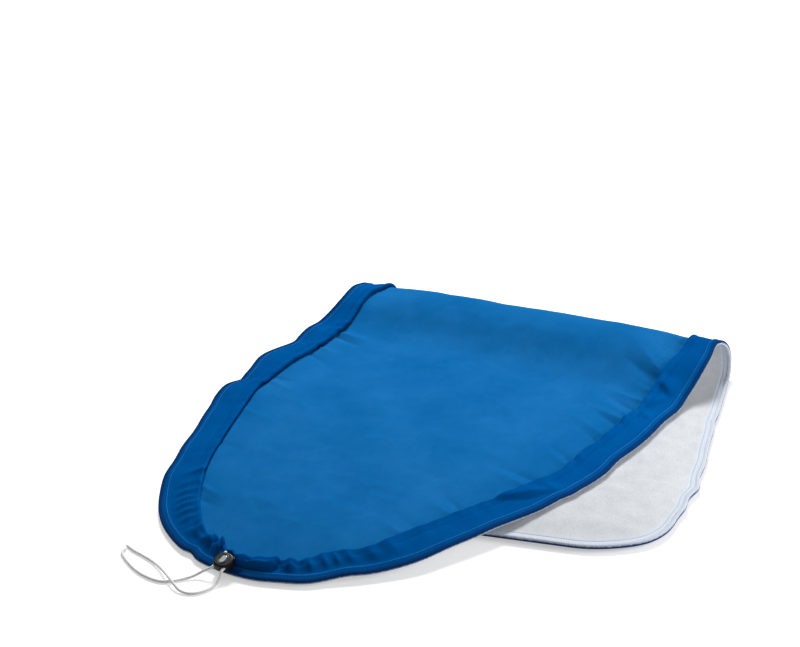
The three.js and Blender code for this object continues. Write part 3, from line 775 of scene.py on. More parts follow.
@dataclass
class BandLay:
    """Where the band, and all that is sewn to it, lies on the cover.

    Insets are distances in from the edge. Each pair of numbers is where something sets in and where it
    is full. Names with lowest or most are limits.
    """

    lay: FoldedLay
    width: float = 42 * MM
    cord_inset: float = 39.55 * MM
    cord_rise: float = 4.05 * MM
    gather_start: float = 11 * MM
    roll_start: float = 37 * MM
    mouth_width: float = 11 * MM
    draws: tuple[Draw, ...] = (
        Draw(17 * MM, 4.0 * MM, 1.5 * MM, 16 * MM),
        Draw(6 * MM, 1.4 * MM, 1.0 * MM, 110 * MM),
    )
    ruffle: float = 0.5 * MM
    ruffle_lift: float = 0.5
    ruffle_waves: tuple[SoftNoise, ...] = (SoftNoise(1.0, 34 * MM, 11), SoftNoise(0.6, 17 * MM, 12))
    past_lock: tuple[float, float] = (6 * MM, 12 * MM)
    tuck_start: tuple[float, float] = (8 * MM, 14 * MM)
    lowest: float = -0.3 * MM
    most_share: float = 1.1
    most_steep: float = 2.4
    most_slant: float = 1.8
    gathers: tuple[Gather, ...] = HAND_GATHERS
    tucks: tuple[Tuck, ...] = BAND_TUCKS
    hem_shifts: tuple[EdgeBump, ...] = HEM_SHIFTS

    def share(self, inset: Array) -> Array:
        """Shares of the way from the seam to the hem."""
        way = (inset - self.gather_start) / (self.width - self.gather_start)
        return np.clip(way, 0, self.most_share)

    def past_mouth(self, travel: Array) -> Array:
        """Distances along the edge past the mouth."""
        return np.maximum(0, np.abs(travel) - self.mouth_width / 2)

    def pulled(self, travel: Array, inset: Array) -> Array:
        """Insets after the hem has been moved, and pulled towards the lock by the drawn cord.

        Args:
            travel: Ways along the edge, below zero to the left of the mouth.
            inset: Distances in from the edge.

        Returns:
            The new distances in from the edge.
        """
        past = self.past_mouth(travel)
        moved = sum(shift.at(travel) for shift in self.hem_shifts)
        share = np.clip((inset - self.gather_start) / (self.roll_start - self.gather_start), 0, 1)
        return inset + share * (moved - sum(draw.pull * draw.strength(past) for draw in self.draws))

    def rise(self, travel: Array, inset: Array) -> Array:
        """Height that the gathers add to the band.

        Args:
            travel: Ways along the edge, below zero to the left of the mouth.
            inset: Distances in from the edge.

        Returns:
            Rises at those places.
        """
        share = self.share(inset)
        past = self.past_mouth(travel)
        hump = np.sin(math.pi * np.minimum(share, 1))
        rise = sum((draw.rise * share + draw.bulge * hump) * draw.strength(past) for draw in self.draws)
        away = smoothstep(np.abs(travel), *self.past_lock)
        rise = rise + away * sum(gather.rise(travel, share) for gather in self.gathers)
        folded = sum(tuck.rise(travel, inset) for tuck in self.tucks)
        rise = rise + folded * smoothstep(inset, *self.tuck_start)
        turns = 2 * math.pi * travel / self.lay.edge.length
        ring = self.lay.edge.length / (2 * math.pi)
        round_places = np.column_stack([np.cos(turns) * ring, np.sin(turns) * ring])
        waves = sum(noise.at(round_places) for noise in self.ruffle_waves)
        return np.maximum(rise + self.ruffle * away * share * (waves + self.ruffle_lift), self.lowest)

    def place(self, travel: Array, inset: Array, height: Array) -> Array:
        """Points of a piece on the band.

        Args:
            travel: Ways along the edge.
            inset: Distances in from the edge.
            height: Distances from the face between felt and cloth.

        Returns:
            Points in the row frame.
        """
        signed = self.lay.edge.signed(travel)
        pulled = self.pulled(signed, inset)
        flat = self.lay.edge.at(travel, pulled)
        past, _ = self.lay.to_fold(flat)
        on_top = smoothstep(past, 0, self.lay.fold_zone)
        lifted = height + np.where(height > 0, self.rise(signed, inset) * on_top, 0)
        return self.lay.place(flat, lifted, (signed, pulled))

    def steepness(self, travel: Array, inset: float) -> Array:
        """How much longer than flat the gathers make a line along the edge, at each of its places."""
        rise = self.rise(self.lay.edge.signed(travel), np.full(len(travel), inset))
        return np.minimum(np.hypot(1, np.gradient(rise, travel)), self.most_steep)

    def slant(self, travel: Array, inset: float) -> Array:
        """How much longer than straight the moved hem makes such a line, at each of its places."""
        pulled = self.pulled(self.lay.edge.signed(travel), np.full(len(travel), inset))
        return np.minimum(np.hypot(1, np.gradient(pulled, travel)), self.most_slant)


class Graph:
    """A short way to write a material's nodes.

    Attributes:
        MIX_INPUTS: Numbers of a colour mix's inputs: share, first and second colour.
        MIX_OUTPUT: Number of its output.
        BAND_LENGTH: Length of one band of the wave texture at scale 1.
    """

    MIX_INPUTS = (0, 6, 7)
    MIX_OUTPUT = 2
    BAND_LENGTH = 0.314

    def __init__(self, name: str) -> None:
        """Start from a plain principled material.

        Args:
            name: Name of the material.
        """
        self.material = bpy.data.materials.new(name)
        self.material.use_nodes = True
        self.tree = self.material.node_tree
        self.shader = self.tree.nodes["Principled BSDF"]

    def put(self, socket: Socket, value: object) -> None:
        """Link a socket into an input, or set the input's value.

        Args:
            socket: Input of a node.
            value: Output socket of another node, or a plain value.
        """
        if isinstance(value, Socket):
            self.tree.links.new(value, socket)
        else:
            socket.default_value = value

    def add(
        self, kind: str, inputs: dict[str | int, object], output: str | int = 0, **settings: object
    ) -> Socket:
        """Add a node.

        Args:
            kind: Type name of the node.
            inputs: Values or sockets by input name or number.
            output: Name or number of the wanted output.
            settings: Other properties of the node.

        Returns:
            The wanted output socket.
        """
        node = self.tree.nodes.new(kind)
        for name, value in settings.items():
            setattr(node, name, value)
        for name, value in inputs.items():
            self.put(node.inputs[name], value)
        return node.outputs[output]

    def flat(self) -> Socket:
        """Place on the flat cut, in metres."""
        return self.add("ShaderNodeUVMap", {}, uv_map="cut")

    def noise(self, where: object, scale: float, detail: float = 3.0, roughness: float = 0.5) -> Socket:
        """Noise from 0 to 1 with so many lumps in a metre."""
        inputs = {"Vector": where, "Scale": scale, "Detail": detail, "Roughness": roughness}
        return self.add("ShaderNodeTexNoise", inputs, "Fac")

    def stretch(self, where: object, scale: Place, turn: float = 0.0) -> Socket:
        """Coordinates scaled along each axis after a turn about the third."""
        return self.add("ShaderNodeMapping", {"Vector": where, "Scale": scale, "Rotation": (0, 0, turn)})

    def threads(self, where: object, pitch: float, direction: str) -> Socket:
        """Rows of slightly wandering thread.

        Args:
            where: Coordinates.
            pitch: Distance between two rows.
            direction: Axis across the rows.

        Returns:
            Values from 0 between the rows to 1 on them.
        """
        inputs = {"Vector": where, "Scale": self.BAND_LENGTH / pitch}
        inputs |= {"Distortion": 0.35, "Detail": 1.0, "Detail Scale": 2.0}
        return self.add("ShaderNodeTexWave", inputs, "Fac", bands_direction=direction)

    def levels(
        self, value: object, low: float, high: float, start: float = 0.0, end: float = 1.0
    ) -> Socket:
        """Value between start and end carried to one between low and high."""
        inputs = {"Value": value, "From Min": start, "From Max": end, "To Min": low, "To Max": high}
        return self.add("ShaderNodeMapRange", inputs)

    def blend(self, share: object, first: object, second: object, kind: str = "MIX") -> Socket:
        """Colour at a share of the way from the first to the second, or to another mix of both."""
        inputs = dict(zip(self.MIX_INPUTS, (share, first, second)))
        return self.add("ShaderNodeMix", inputs, self.MIX_OUTPUT, data_type="RGBA", blend_type=kind)

    def darken(self, colour: object, value: object) -> Socket:
        """Colour times a grey value."""
        grey = self.add("ShaderNodeCombineColor", {"Red": value, "Green": value, "Blue": value})
        return self.blend(1.0, colour, grey, "MULTIPLY")

    def math(self, first: object, second: object, operation: str = "MULTIPLY") -> Socket:
        """Two values added, multiplied or the like."""
        return self.add("ShaderNodeMath", {0: first, 1: second}, operation=operation)

    def mark(self, name: str) -> Socket:
        """Value that the mesh holds at each point under that name."""
        return self.add("ShaderNodeAttribute", {}, "Fac", attribute_name=name)

    def bump(self, height: object, distance: float, strength: float, under: object = None) -> Socket:
        """Relief on a surface.

        Args:
            height: Heights from 0 to 1.
            distance: Height of the relief where they are 1.
            strength: How much of it shows.
            under: Normal of another relief that it lies on.

        Returns:
            The normal.
        """
        inputs = {"Height": height, "Distance": distance, "Strength": strength}
        if under is not None:
            inputs["Normal"] = under
        return self.add("ShaderNodeBump", inputs)

    def finish(self, values: dict[str, object]) -> Material:
        """Set the shader's inputs by name.

        Args:
            values: Values or sockets.

        Returns:
            The finished material.
        """
        for name, value in values.items():
            self.put(self.shader.inputs[name], value)
        return self.material


@dataclass(frozen=True)
class WovenCotton:
    """Fine plain weave, matt."""

    name: str
    deep: Colour
    pale: Colour
    pitch: float = 0.8 * MM
    crease: float = 0.8 * MM

    def material(self) -> Material:
        """Weave in relief, with painted shade between the threads and a painted highlight where they
        cross; slubs, patches and small creases.

        Returns:
            The finished material.
        """
        graph = Graph(self.name)
        flat = graph.flat()
        weave = graph.math(graph.threads(flat, self.pitch, "X"), graph.threads(flat, self.pitch, "Y"))
        slubs = graph.noise(graph.stretch(flat, (60, 1400, 1)), scale=1.0, detail=2.0)
        patches = graph.noise(flat, scale=14.0, detail=4.0, roughness=0.6)
        crumples = graph.stretch(flat, (30, 55, 1), turn=0.4)
        creases = graph.noise(crumples, scale=1.0, detail=5.0, roughness=0.55)
        pale = graph.levels(patches, 0.1, 0.9, *NOISE_SPAN)
        tone = graph.blend(pale, linear(self.deep), linear(self.pale))
        # painted shade and highlight: darker where the weave's relief is low, lighter where it is high
        tone = graph.darken(tone, graph.levels(weave, 0.88, 1.06))
        tone = graph.darken(tone, graph.levels(slubs, 0.92, 1.06, *NOISE_SPAN))
        relief = graph.bump(creases, distance=self.crease, strength=0.5)
        relief = graph.bump(weave, distance=0.1 * MM, strength=0.25, under=relief)
        return graph.finish({
            "Base Color": tone,
            "Roughness": graph.levels(slubs, 0.5, 0.66, *NOISE_SPAN),
            "Specular IOR Level": 0.0,
            "Normal": relief,
        })


@dataclass(frozen=True)
class NeedledFelt:
    """White fleecy felt, pressed flat and bluish along its sewn edge."""

    name: str
    body: Colour = (210, 213, 217)
    # painted shade: darker grey for the hollows between the fibre tufts
    tuft_hollow_shade: Colour = (192, 196, 202)
    pressed: Colour = (206, 218, 234)

    def material(self) -> Material:
        """Fibre tufts with painted shade in their hollows, soft mottling and the pressed edge.

        Returns:
            The finished material.
        """
        graph = Graph(self.name)
        flat = graph.flat()
        tufts = graph.noise(flat, scale=420.0, detail=5.0, roughness=0.65)
        combed = graph.stretch(flat, (500, 2200, 1), turn=0.7)
        fibres = graph.noise(combed, scale=1.0, detail=4.0, roughness=0.7)
        mottle = graph.noise(flat, scale=45.0, detail=4.0, roughness=0.6)
        # painted shade where the tufts' relief is low
        full = graph.levels(tufts, 0.0, 1.0, start=0.25, end=0.62)
        tone = graph.blend(full, linear(self.tuft_hollow_shade), linear(self.body))
        tone = graph.darken(tone, graph.levels(mottle, 0.9, 1.05, *NOISE_SPAN))
        edge = graph.levels(graph.mark("depth"), 0.7, 0.0, start=8 * MM, end=14 * MM)
        tone = graph.blend(edge, tone, linear(self.pressed))
        relief = graph.bump(mottle, distance=1.2 * MM, strength=0.35)
        relief = graph.bump(tufts, distance=0.5 * MM, strength=0.3, under=relief)
        relief = graph.bump(fibres, distance=0.15 * MM, strength=0.5, under=relief)
        return graph.finish({
            "Base Color": tone,
            "Roughness": graph.levels(fibres, 0.88, 1.0),
            "Specular IOR Level": 0.08,
            "Sheen Weight": 0.2,
            "Sheen Roughness": 0.6,
            "Normal": relief,
        })


@dataclass(frozen=True)
class SpunThread:
    """Twisted sewing thread, with another colour on the felt's side where it is given."""

    name: str
    deep: Colour
    pale: Colour
    felt_side: Colour | None = None

    def material(self) -> Material:
        """Fibre streaks and a soft gloss.

        Returns:
            The finished material.
        """
        graph = Graph(self.name)
        flat = graph.flat()
        twisted = graph.stretch(flat, (900, 3000, 1), turn=0.5)
        streaks = graph.noise(twisted, scale=1.0, detail=3.0, roughness=0.6)
        pale = graph.levels(streaks, 0.0, 1.0, *NOISE_SPAN)
        tone = graph.blend(pale, linear(self.deep), linear(self.pale))
        if self.felt_side is not None:
            shaded = graph.darken(linear(self.felt_side), graph.levels(streaks, 0.86, 1.04, *NOISE_SPAN))
            tone = graph.blend(graph.mark("felt_side"), tone, shaded)
        return graph.finish({
            "Base Color": tone,
            "Roughness": graph.levels(streaks, 0.6, 0.8),
            "Specular IOR Level": 0.02,
            "Normal": graph.bump(streaks, distance=0.1 * MM, strength=0.5),
        })


@dataclass(frozen=True)
class BraidedCord:
    """White braided cord."""

    name: str
    yarn: Colour = (250, 250, 249)
    # painted shade: this grey stands in for the shade in the grooves between the yarns
    groove: Colour = (220, 222, 225)

    def material(self) -> Material:
        """Painted shade in the grooves between the yarns, and fine filaments.

        Returns:
            The finished material.
        """
        graph = Graph(self.name)
        flat = graph.flat()
        laid = graph.stretch(flat, (2600, 900, 1), turn=0.6)
        filaments = graph.noise(laid, scale=1.0, detail=3.0, roughness=0.6)
        raised = graph.levels(graph.mark("yarn"), 0.0, 1.0, start=0.15, end=0.6)
        tone = graph.blend(raised, linear(self.groove), linear(self.yarn))
        tone = graph.darken(tone, graph.levels(filaments, 0.94, 1.03, *NOISE_SPAN))
        return graph.finish({
            "Base Color": tone,
            "Roughness": graph.levels(filaments, 0.62, 0.82),
            "Specular IOR Level": 0.25,
            "Sheen Weight": 0.2,
            "Normal": graph.bump(filaments, distance=0.08 * MM, strength=0.5),
        })


@dataclass(frozen=True)
class MouldedPlastic:
    """Plastic with a fine spark-eroded grain; handling makes it duller."""

    name: str
    body: Colour
    worn: Colour
    gloss: float
    shine: float = 0.25
    grain: float = 0.05 * MM
    coat: float = 0.0
    dulling: float = 0.14

    def material(self) -> Material:
        """Grain in the relief, and faint handling marks in colour and gloss.

        Returns:
            The finished material.
        """
        graph = Graph(self.name)
        where = graph.add("ShaderNodeTexCoord", {}, "Object")
        marks = graph.noise(where, scale=260.0, detail=5.0, roughness=0.65)
        grain = graph.noise(where, scale=4200.0, detail=2.0)
        worn = graph.levels(marks, 0.0, 0.7, start=0.42, end=0.75)
        tone = graph.blend(worn, linear(self.body), linear(self.worn))
        return graph.finish({
            "Base Color": tone,
            "Specular IOR Level": self.shine,
            "Roughness": graph.levels(marks, self.gloss, self.gloss + self.dulling, *NOISE_SPAN),
            "Coat Weight": self.coat,
            "Coat Roughness": 0.12,
            "Normal": graph.bump(grain, distance=self.grain, strength=0.35),
        })


@dataclass(frozen=True)
class DrawnWire:
    """Bright spring wire."""

    name: str
    dark: Colour = (150, 152, 156)
    bright: Colour = (214, 216, 220)

    def material(self) -> Material:
        """Drawing lines along the wire.

        Returns:
            The finished material.
        """
        graph = Graph(self.name)
        where = graph.add("ShaderNodeTexCoord", {}, "Object")
        lines = graph.noise(graph.stretch(where, (900, 900, 5200)), scale=1.0, detail=3.0)
        tone = graph.blend(lines, linear(self.dark), linear(self.bright))
        return graph.finish({
            "Base Color": tone,
            "Metallic": 1.0,
            "Roughness": graph.levels(lines, 0.2, 0.42, *NOISE_SPAN),
        })


class Finish(Enum):
    """The finishes of the cover's pieces."""

    FACE = WovenCotton("face_cotton", (12, 102, 168), (30, 116, 184))
    BAND = WovenCotton("band_cotton", (0, 78, 148), (2, 92, 164), 0.7 * MM, 0.6 * MM)
    FELT = NeedledFelt("needled_felt")
    # The overlock's navy, darker than the band, is partly the thread's own colour and partly painted shade
    # of the rim's outward slope.
    OVERLOCK = SpunThread("overlock_thread", (0, 44, 94), (2, 64, 124), (206, 213, 224))
    SEAM = SpunThread("face_seam_thread", (40, 114, 182), (84, 148, 206))
    FELT_SEAM = SpunThread("felt_seam_thread", (176, 186, 200), (214, 220, 230))
    HEM_SEAM = SpunThread("hem_seam_thread", (0, 76, 146), (4, 90, 160))
    CORD = BraidedCord("braided_cord")
    LOCK = MouldedPlastic("lock_plastic", (10, 10, 12), (20, 20, 22), 0.34)
    # painted highlight: the rim's lighter grey stands in for light caught by the raised rim
    RIM = MouldedPlastic("rim_plastic_painted_highlight", (46, 45, 44), (72, 70, 68), 0.26, 0.4)
    BUTTON = MouldedPlastic("button_plastic", (176, 190, 192), (206, 216, 216), 0.16, 0.5, 0.02 * MM, 0.5)
    SPRING = DrawnWire("spring_wire")

    def material(self) -> Material:
        """The finish's material, made at its first use."""
        made = bpy.data.materials.get(self.value.name)
        return made or self.value.material()


@dataclass
class Surface:
    """A piece's points and faces.

    Attributes:
        points: Points in the row frame.
        faces: Lists of point numbers.
        flat: Place of each point on its flat cloth.
        marks: Named values at each point.
    """

    points: Array
    faces: list[list[int]]
    flat: Array
    marks: dict[str, Array] = field(default_factory=dict)

    def made(self, name: str, finish: Finish) -> Piece:
        """Turn it into a smooth mesh object with its faces outwards.

        Args:
            name: Name of the object.
            finish: Its finish.

        Returns:
            The object, in the scene but on no body yet.
        """
        mesh = bpy.data.meshes.new(name)
        mesh.from_pydata(self.points.tolist(), [], self.faces)
        body = bmesh.new()
        body.from_mesh(mesh)
        bmesh.ops.recalc_face_normals(body, faces=body.faces)
        body.to_mesh(mesh)
        body.free()
        corners = np.empty(len(mesh.loops), np.int32)
        mesh.loops.foreach_get("vertex_index", corners)
        flat = self.flat[corners].astype(np.float32)
        mesh.uv_layers.new(name="cut").data.foreach_set("uv", flat.ravel())
        for mark, values in self.marks.items():
            attribute = mesh.attributes.new(mark, "FLOAT", "POINT")
            attribute.data.foreach_set("value", values.astype(np.float32))
        mesh.shade_smooth()
        mesh.materials.append(finish.material())
        return linked(name, mesh)


def grid_faces(rows: int, columns: int, wrap_rows: bool, wrap_columns: bool) -> list[list[int]]:
    """Four-cornered faces of a grid of points, row after row.

    Args:
        rows: Number of rows.
        columns: Number of points in a row.
        wrap_rows: Whether the last row joins the first.
        wrap_columns: Whether the last point of a row joins its first.

    Returns:
        The faces.
    """
    here = np.arange(rows if wrap_rows else rows - 1)
    place = np.arange(columns if wrap_columns else columns - 1)
    row, column = (part.ravel() for part in np.meshgrid(here, place, indexing="ij"))
    next_row, next_column = (row + 1) % rows, (column + 1) % columns
    corners = [(row, column), (row, next_column), (next_row, next_column), (next_row, column)]
    return np.column_stack([r * columns + c for r, c in corners]).tolist()


def end_caps(rows: int, columns: int) -> list[list[int]]:
    """Faces that close the two ends of a grid that wraps its columns."""
    last = (rows - 1) * columns
    return [list(range(columns)), list(range(last, last + columns))[::-1]]


@dataclass
class FlatNet:
    """Even triangles over the flat cut, with rings of points along its edge.

    Rings are insets in millimetres, and the ring gap from the last one to the field is a share of the
    pitch. A fine pitch, if given, holds along the hem of the upper half. Points closer than merge are one.
    """

    lay: FoldedLay
    pitch: float
    rings: tuple[float, ...]
    fine: float | None = None
    fine_depths: tuple[float, float] = (28 * MM, 96 * MM)
    fine_past: float = 24 * MM
    ring_gap: float = 0.7
    merge: float = 1e-7
    places: Array = field(init=False)
    triangles: Array = field(init=False)
    rim: Array = field(init=False)
    travel: Array = field(init=False)
    depth: Array = field(init=False)

    @property
    def by_edge(self) -> tuple[Array, Array]:
        """Ways along the edge and distances in from it."""
        return self.travel, self.depth

    def __post_init__(self) -> None:
        """Set the points out and join them."""
        edge = self.lay.edge
        count = round(edge.length / self.pitch)
        around = np.arange(count) * edge.length / count
        rings = [edge.at(around, inset * MM) for inset in self.rings]
        inner = self.lattice(self.pitch)
        if self.fine is not None:
            finer = self.lattice(self.fine)
            inner = np.vstack([inner[~self.by_hem(inner)], finer[self.by_hem(finer)]])
        places = np.vstack([*rings, inner])
        joins = [(i, (i + 1) % count) for i in range(count)]
        points, _, faces, *_ = delaunay_2d_cdt([Vector(p) for p in places], joins, [], 1, self.merge)
        self.places = np.array([tuple(p) for p in points])
        self.triangles = np.array([tuple(f) for f in faces])
        self.rim = np.arange(count)
        self.travel, self.depth = edge.nearest(self.places)

    def lattice(self, pitch: float) -> Array:
        """Even places inside the rings.

        Args:
            pitch: Distance between two places.

        Returns:
            Places on the flat cut.
        """
        edge = self.lay.edge
        rows = np.arange(0, edge.cut.length, pitch * math.sqrt(3) / 2)
        sideways = np.arange(-edge.cut.width / 2, edge.cut.width / 2, pitch)
        places = np.array([
            (row, place + (i % 2) * pitch / 2) for i, row in enumerate(rows) for place in sideways
        ])
        _, depth = edge.nearest(places)
        return places[depth > self.rings[-1] * MM + self.ring_gap * self.pitch]

    def by_hem(self, places: Array) -> Array:
        """Which places lie along the hem of the upper half.

        Args:
            places: Places on the flat cut.

        Returns:
            True or false for each.
        """
        _, depth = self.lay.edge.nearest(places)
        past, _ = self.lay.to_fold(places)
        first, last = self.fine_depths
        return (depth > first) & (depth < last) & (past > self.fine_past)

    def ply(self, top: Array, under: Array) -> Surface:
        """A closed ply of felt or cloth.

        Args:
            top: Points on the cloth's side.
            under: Points on the felt's side.

        Returns:
            Its surface, with the top points first.
        """
        count = len(top)
        after = np.roll(self.rim, -1)
        sides = np.column_stack([self.rim + count, after + count, after, self.rim])
        faces = self.triangles.tolist() + (self.triangles[:, ::-1] + count).tolist() + sides.tolist()
        return Surface(np.vstack([top, under]), faces, np.vstack([self.places] * 2))


@dataclass
class FeltPad:
    """The pad: thick felt that thins out under the sewn edge."""

    lay: FoldedLay
    thickness: float = 4 * MM
    edge_thickness: float = 1.6 * MM
    edge_width: float = 14 * MM
    slope_width: float = 32 * MM
    seam_inset: float = 9 * MM
    groove: float = 0.5 * MM
    groove_width: float = 0.7 * MM
    fleece: tuple[SoftNoise, ...] = (SoftNoise(0.25, 30 * MM, 3), SoftNoise(0.12, 12 * MM, 4))
    fleece_start: tuple[float, float] = (12 * MM, 40 * MM)
    pitch: float = 5 * MM
    rings: tuple[float, ...] = (0.3, 1.5, 3, 5, 7, 8, 8.6, 9, 9.4, 10, 11, 13, 16, 20)

    def build(self) -> Piece:
        """Net both sides of the pad, with the sewn groove and a fleecy unevenness.

        Returns:
            The pad's object.
        """
        net = FlatNet(self.lay, self.pitch, self.rings)
        inside = smoothstep(net.depth, self.edge_width, self.edge_width + self.slope_width)
        thick = mix(self.edge_thickness, self.thickness, inside)
        thick -= self.groove * bell(net.depth - self.seam_inset, self.groove_width)
        fleece = sum(noise.at(net.places) for noise in self.fleece)
        thick += MM * fleece * smoothstep(net.depth, *self.fleece_start)
        top = self.lay.place(net.places, 0.0, net.by_edge)
        under = self.lay.place(net.places, -thick, net.by_edge)
        surface = net.ply(top, under)
        surface.marks["depth"] = np.tile(net.depth, 2)
        return surface.made("felt_layer", Finish.FELT)

    def dress(self) -> Piece:
        """Returns:
            The piece.
        """
        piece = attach(self.build(), Body.COVER.value)
        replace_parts(piece, "felt_pad")
        return piece


@dataclass
class SlackCloth:
    """Cloth simulation that lets the slack face settle on the pad inside the band.

    Depths are distances in from the edge; the fold holds the face up to held_past beyond its line. The
    slack is how much too wide the cloth is, in the field and along the hem, and the spare is how much held
    cloth is taken in, from the edge and from the fold.
    """

    net: FlatNet
    frames: int = 10
    held_depth: float = 56 * MM
    free_depth: float = 100 * MM
    held_past: float = 44 * MM
    slack: tuple[float, float] = (0.0006, 0.018)
    slack_reach: float = 50 * MM
    pad_gap: float = 1.1 * MM
    spare: tuple[float, float] = (6 * MM, 10 * MM)
    touch: float = 1.0 * MM

    def settled(self, start: Array) -> Array:
        """How far each point of the face moves until the cloth lies still.

        Args:
            start: Points of the face before it settles.
        """
        moved = np.zeros_like(start)
        past, _ = self.net.lay.to_fold(self.net.places)
        first_depth, first_past = self.held_depth - self.spare[0], self.held_past - self.spare[1]
        part = (self.net.depth > first_depth) & (past > first_past)
        triangles = self.net.triangles[part[self.net.triangles].all(axis=1)]
        used = np.unique(triangles)
        numbers = np.zeros(len(start), int)
        numbers[used] = np.arange(len(used))
        faces = numbers[triangles].tolist()
        cloth = self.plain_object("slack_cloth", start[used], faces)
        by_edge = tuple(values[used] for values in self.net.by_edge)
        below = self.net.lay.place(self.net.places[used], -self.pad_gap, by_edge)
        pad = self.plain_object("pad_below", below, faces)
        depth = self.net.depth[used]
        by_band = 1 - smoothstep(depth, self.held_depth, self.free_depth)
        self.weigh(cloth, "held", np.where(past[used] < self.held_past, 1.0, by_band))
        self.weigh(cloth, "slack", bell(np.maximum(depth - self.held_depth, 0), self.slack_reach))
        self.set_up(cloth, pad)
        scene = bpy.context.scene
        for step in range(1, self.frames + 1):
            scene.frame_set(step)
        settled = cloth.evaluated_get(bpy.context.evaluated_depsgraph_get()).data
        ends = np.empty(3 * len(used), np.float32)
        settled.vertices.foreach_get("co", ends)
        moved[used] = ends.reshape(-1, 3) - start[used]
        scene.frame_set(1)
        for piece in (cloth, pad):
            bpy.data.objects.remove(piece)
        return moved

    def plain_object(self, name: str, points: Array, faces: list[list[int]]) -> Piece:
        """Mesh object for the simulation only.

        Args:
            name: Name of the object.
            points: Its points.
            faces: Lists of point numbers.

        Returns:
            The object, in the scene.
        """
        mesh = bpy.data.meshes.new(name)
        mesh.from_pydata(points.tolist(), [], faces)
        return linked(name, mesh)

    def weigh(self, piece: Piece, name: str, weights: Array) -> None:
        """Give every point a weight in a new vertex group.

        Args:
            piece: The object.
            name: Name of the group.
            weights: One weight per point.
        """
        group = piece.vertex_groups.new(name=name)
        for number, weight in enumerate(weights.tolist()):
            group.add([number], weight, "REPLACE")

    def set_up(self, cloth: Piece, pad: Piece) -> None:
        """Make the one a cloth held at its rim, and the other what it lies on.

        Args:
            cloth: The face's free part.
            pad: What lies under it.
        """
        modifier = cloth.modifiers.new("settle", "CLOTH")
        modifier.point_cache.frame_end = self.frames
        settings = modifier.settings
        settings.quality = 6
        settings.mass = 0.004
        settings.air_damping = 2.0
        settings.effector_weights.gravity = 0.3
        settings.tension_stiffness = settings.compression_stiffness = 12.0
        settings.shear_stiffness = 6.0
        settings.tension_damping = settings.compression_damping = settings.shear_damping = 8.0
        settings.bending_stiffness = 0.004
        settings.bending_damping = 0.5
        settings.vertex_group_mass = "held"
        settings.vertex_group_shrink = "slack"
        settings.shrink_min, settings.shrink_max = (-share for share in self.slack)
        modifier.collision_settings.distance_min = self.touch
        modifier.collision_settings.collision_quality = 2
        modifier.collision_settings.use_self_collision = False
        pad.modifiers.new("pad", "COLLISION")
        pad.collision.thickness_outer = self.touch
        pad.collision.cloth_friction = 8.0


@dataclass
class FaceFabric:
    """The cotton face over the pad, a little slack, so that it puckers along the band."""

    band: BandLay
    base: float = 0.4 * MM
    thickness: float = 0.6 * MM
    swell: tuple[SoftNoise, ...] = (SoftNoise(0.5, 90 * MM, 21), SoftNoise(0.25, 40 * MM, 22))
    swell_level: float = 0.5
    swell_height: float = 0.9 * MM
    swell_reach: float = 60 * MM
    sink: float = 0.3 * MM
    pitch: float = 4.6 * MM
    fine: float = 1.8 * MM
    rings: tuple[float, ...] = (0.3, 4, 9, 14)

    def build(self) -> Piece:
        """Net the cloth, a little uneven, and let it settle.

        Returns:
            The face's object.
        """
        lay = self.band.lay
        net = FlatNet(lay, self.pitch, self.rings, self.fine)
        swell = sum((noise.at(net.places) for noise in self.swell), self.swell_level)
        inside = smoothstep(net.depth, self.band.width, self.band.width + self.swell_reach)
        rise = self.swell_height * swell * inside
        top = lay.place(net.places, self.base + self.thickness + rise, net.by_edge)
        under = lay.place(net.places, self.base + rise, net.by_edge)
        settled = SlackCloth(net).settled(top)
        lowest = lay.place(net.places, self.base + self.thickness - self.sink, net.by_edge)
        settled[:, 2] = np.maximum(settled[:, 2], lowest[:, 2] - top[:, 2])
        return net.ply(top + settled, under + settled).made("face_cloth", Finish.FACE)

    def dress(self) -> Piece:
        """Returns:
            The piece.
        """
        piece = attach(self.build(), Body.COVER.value)
        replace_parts(piece, "face_fabric")
        return piece


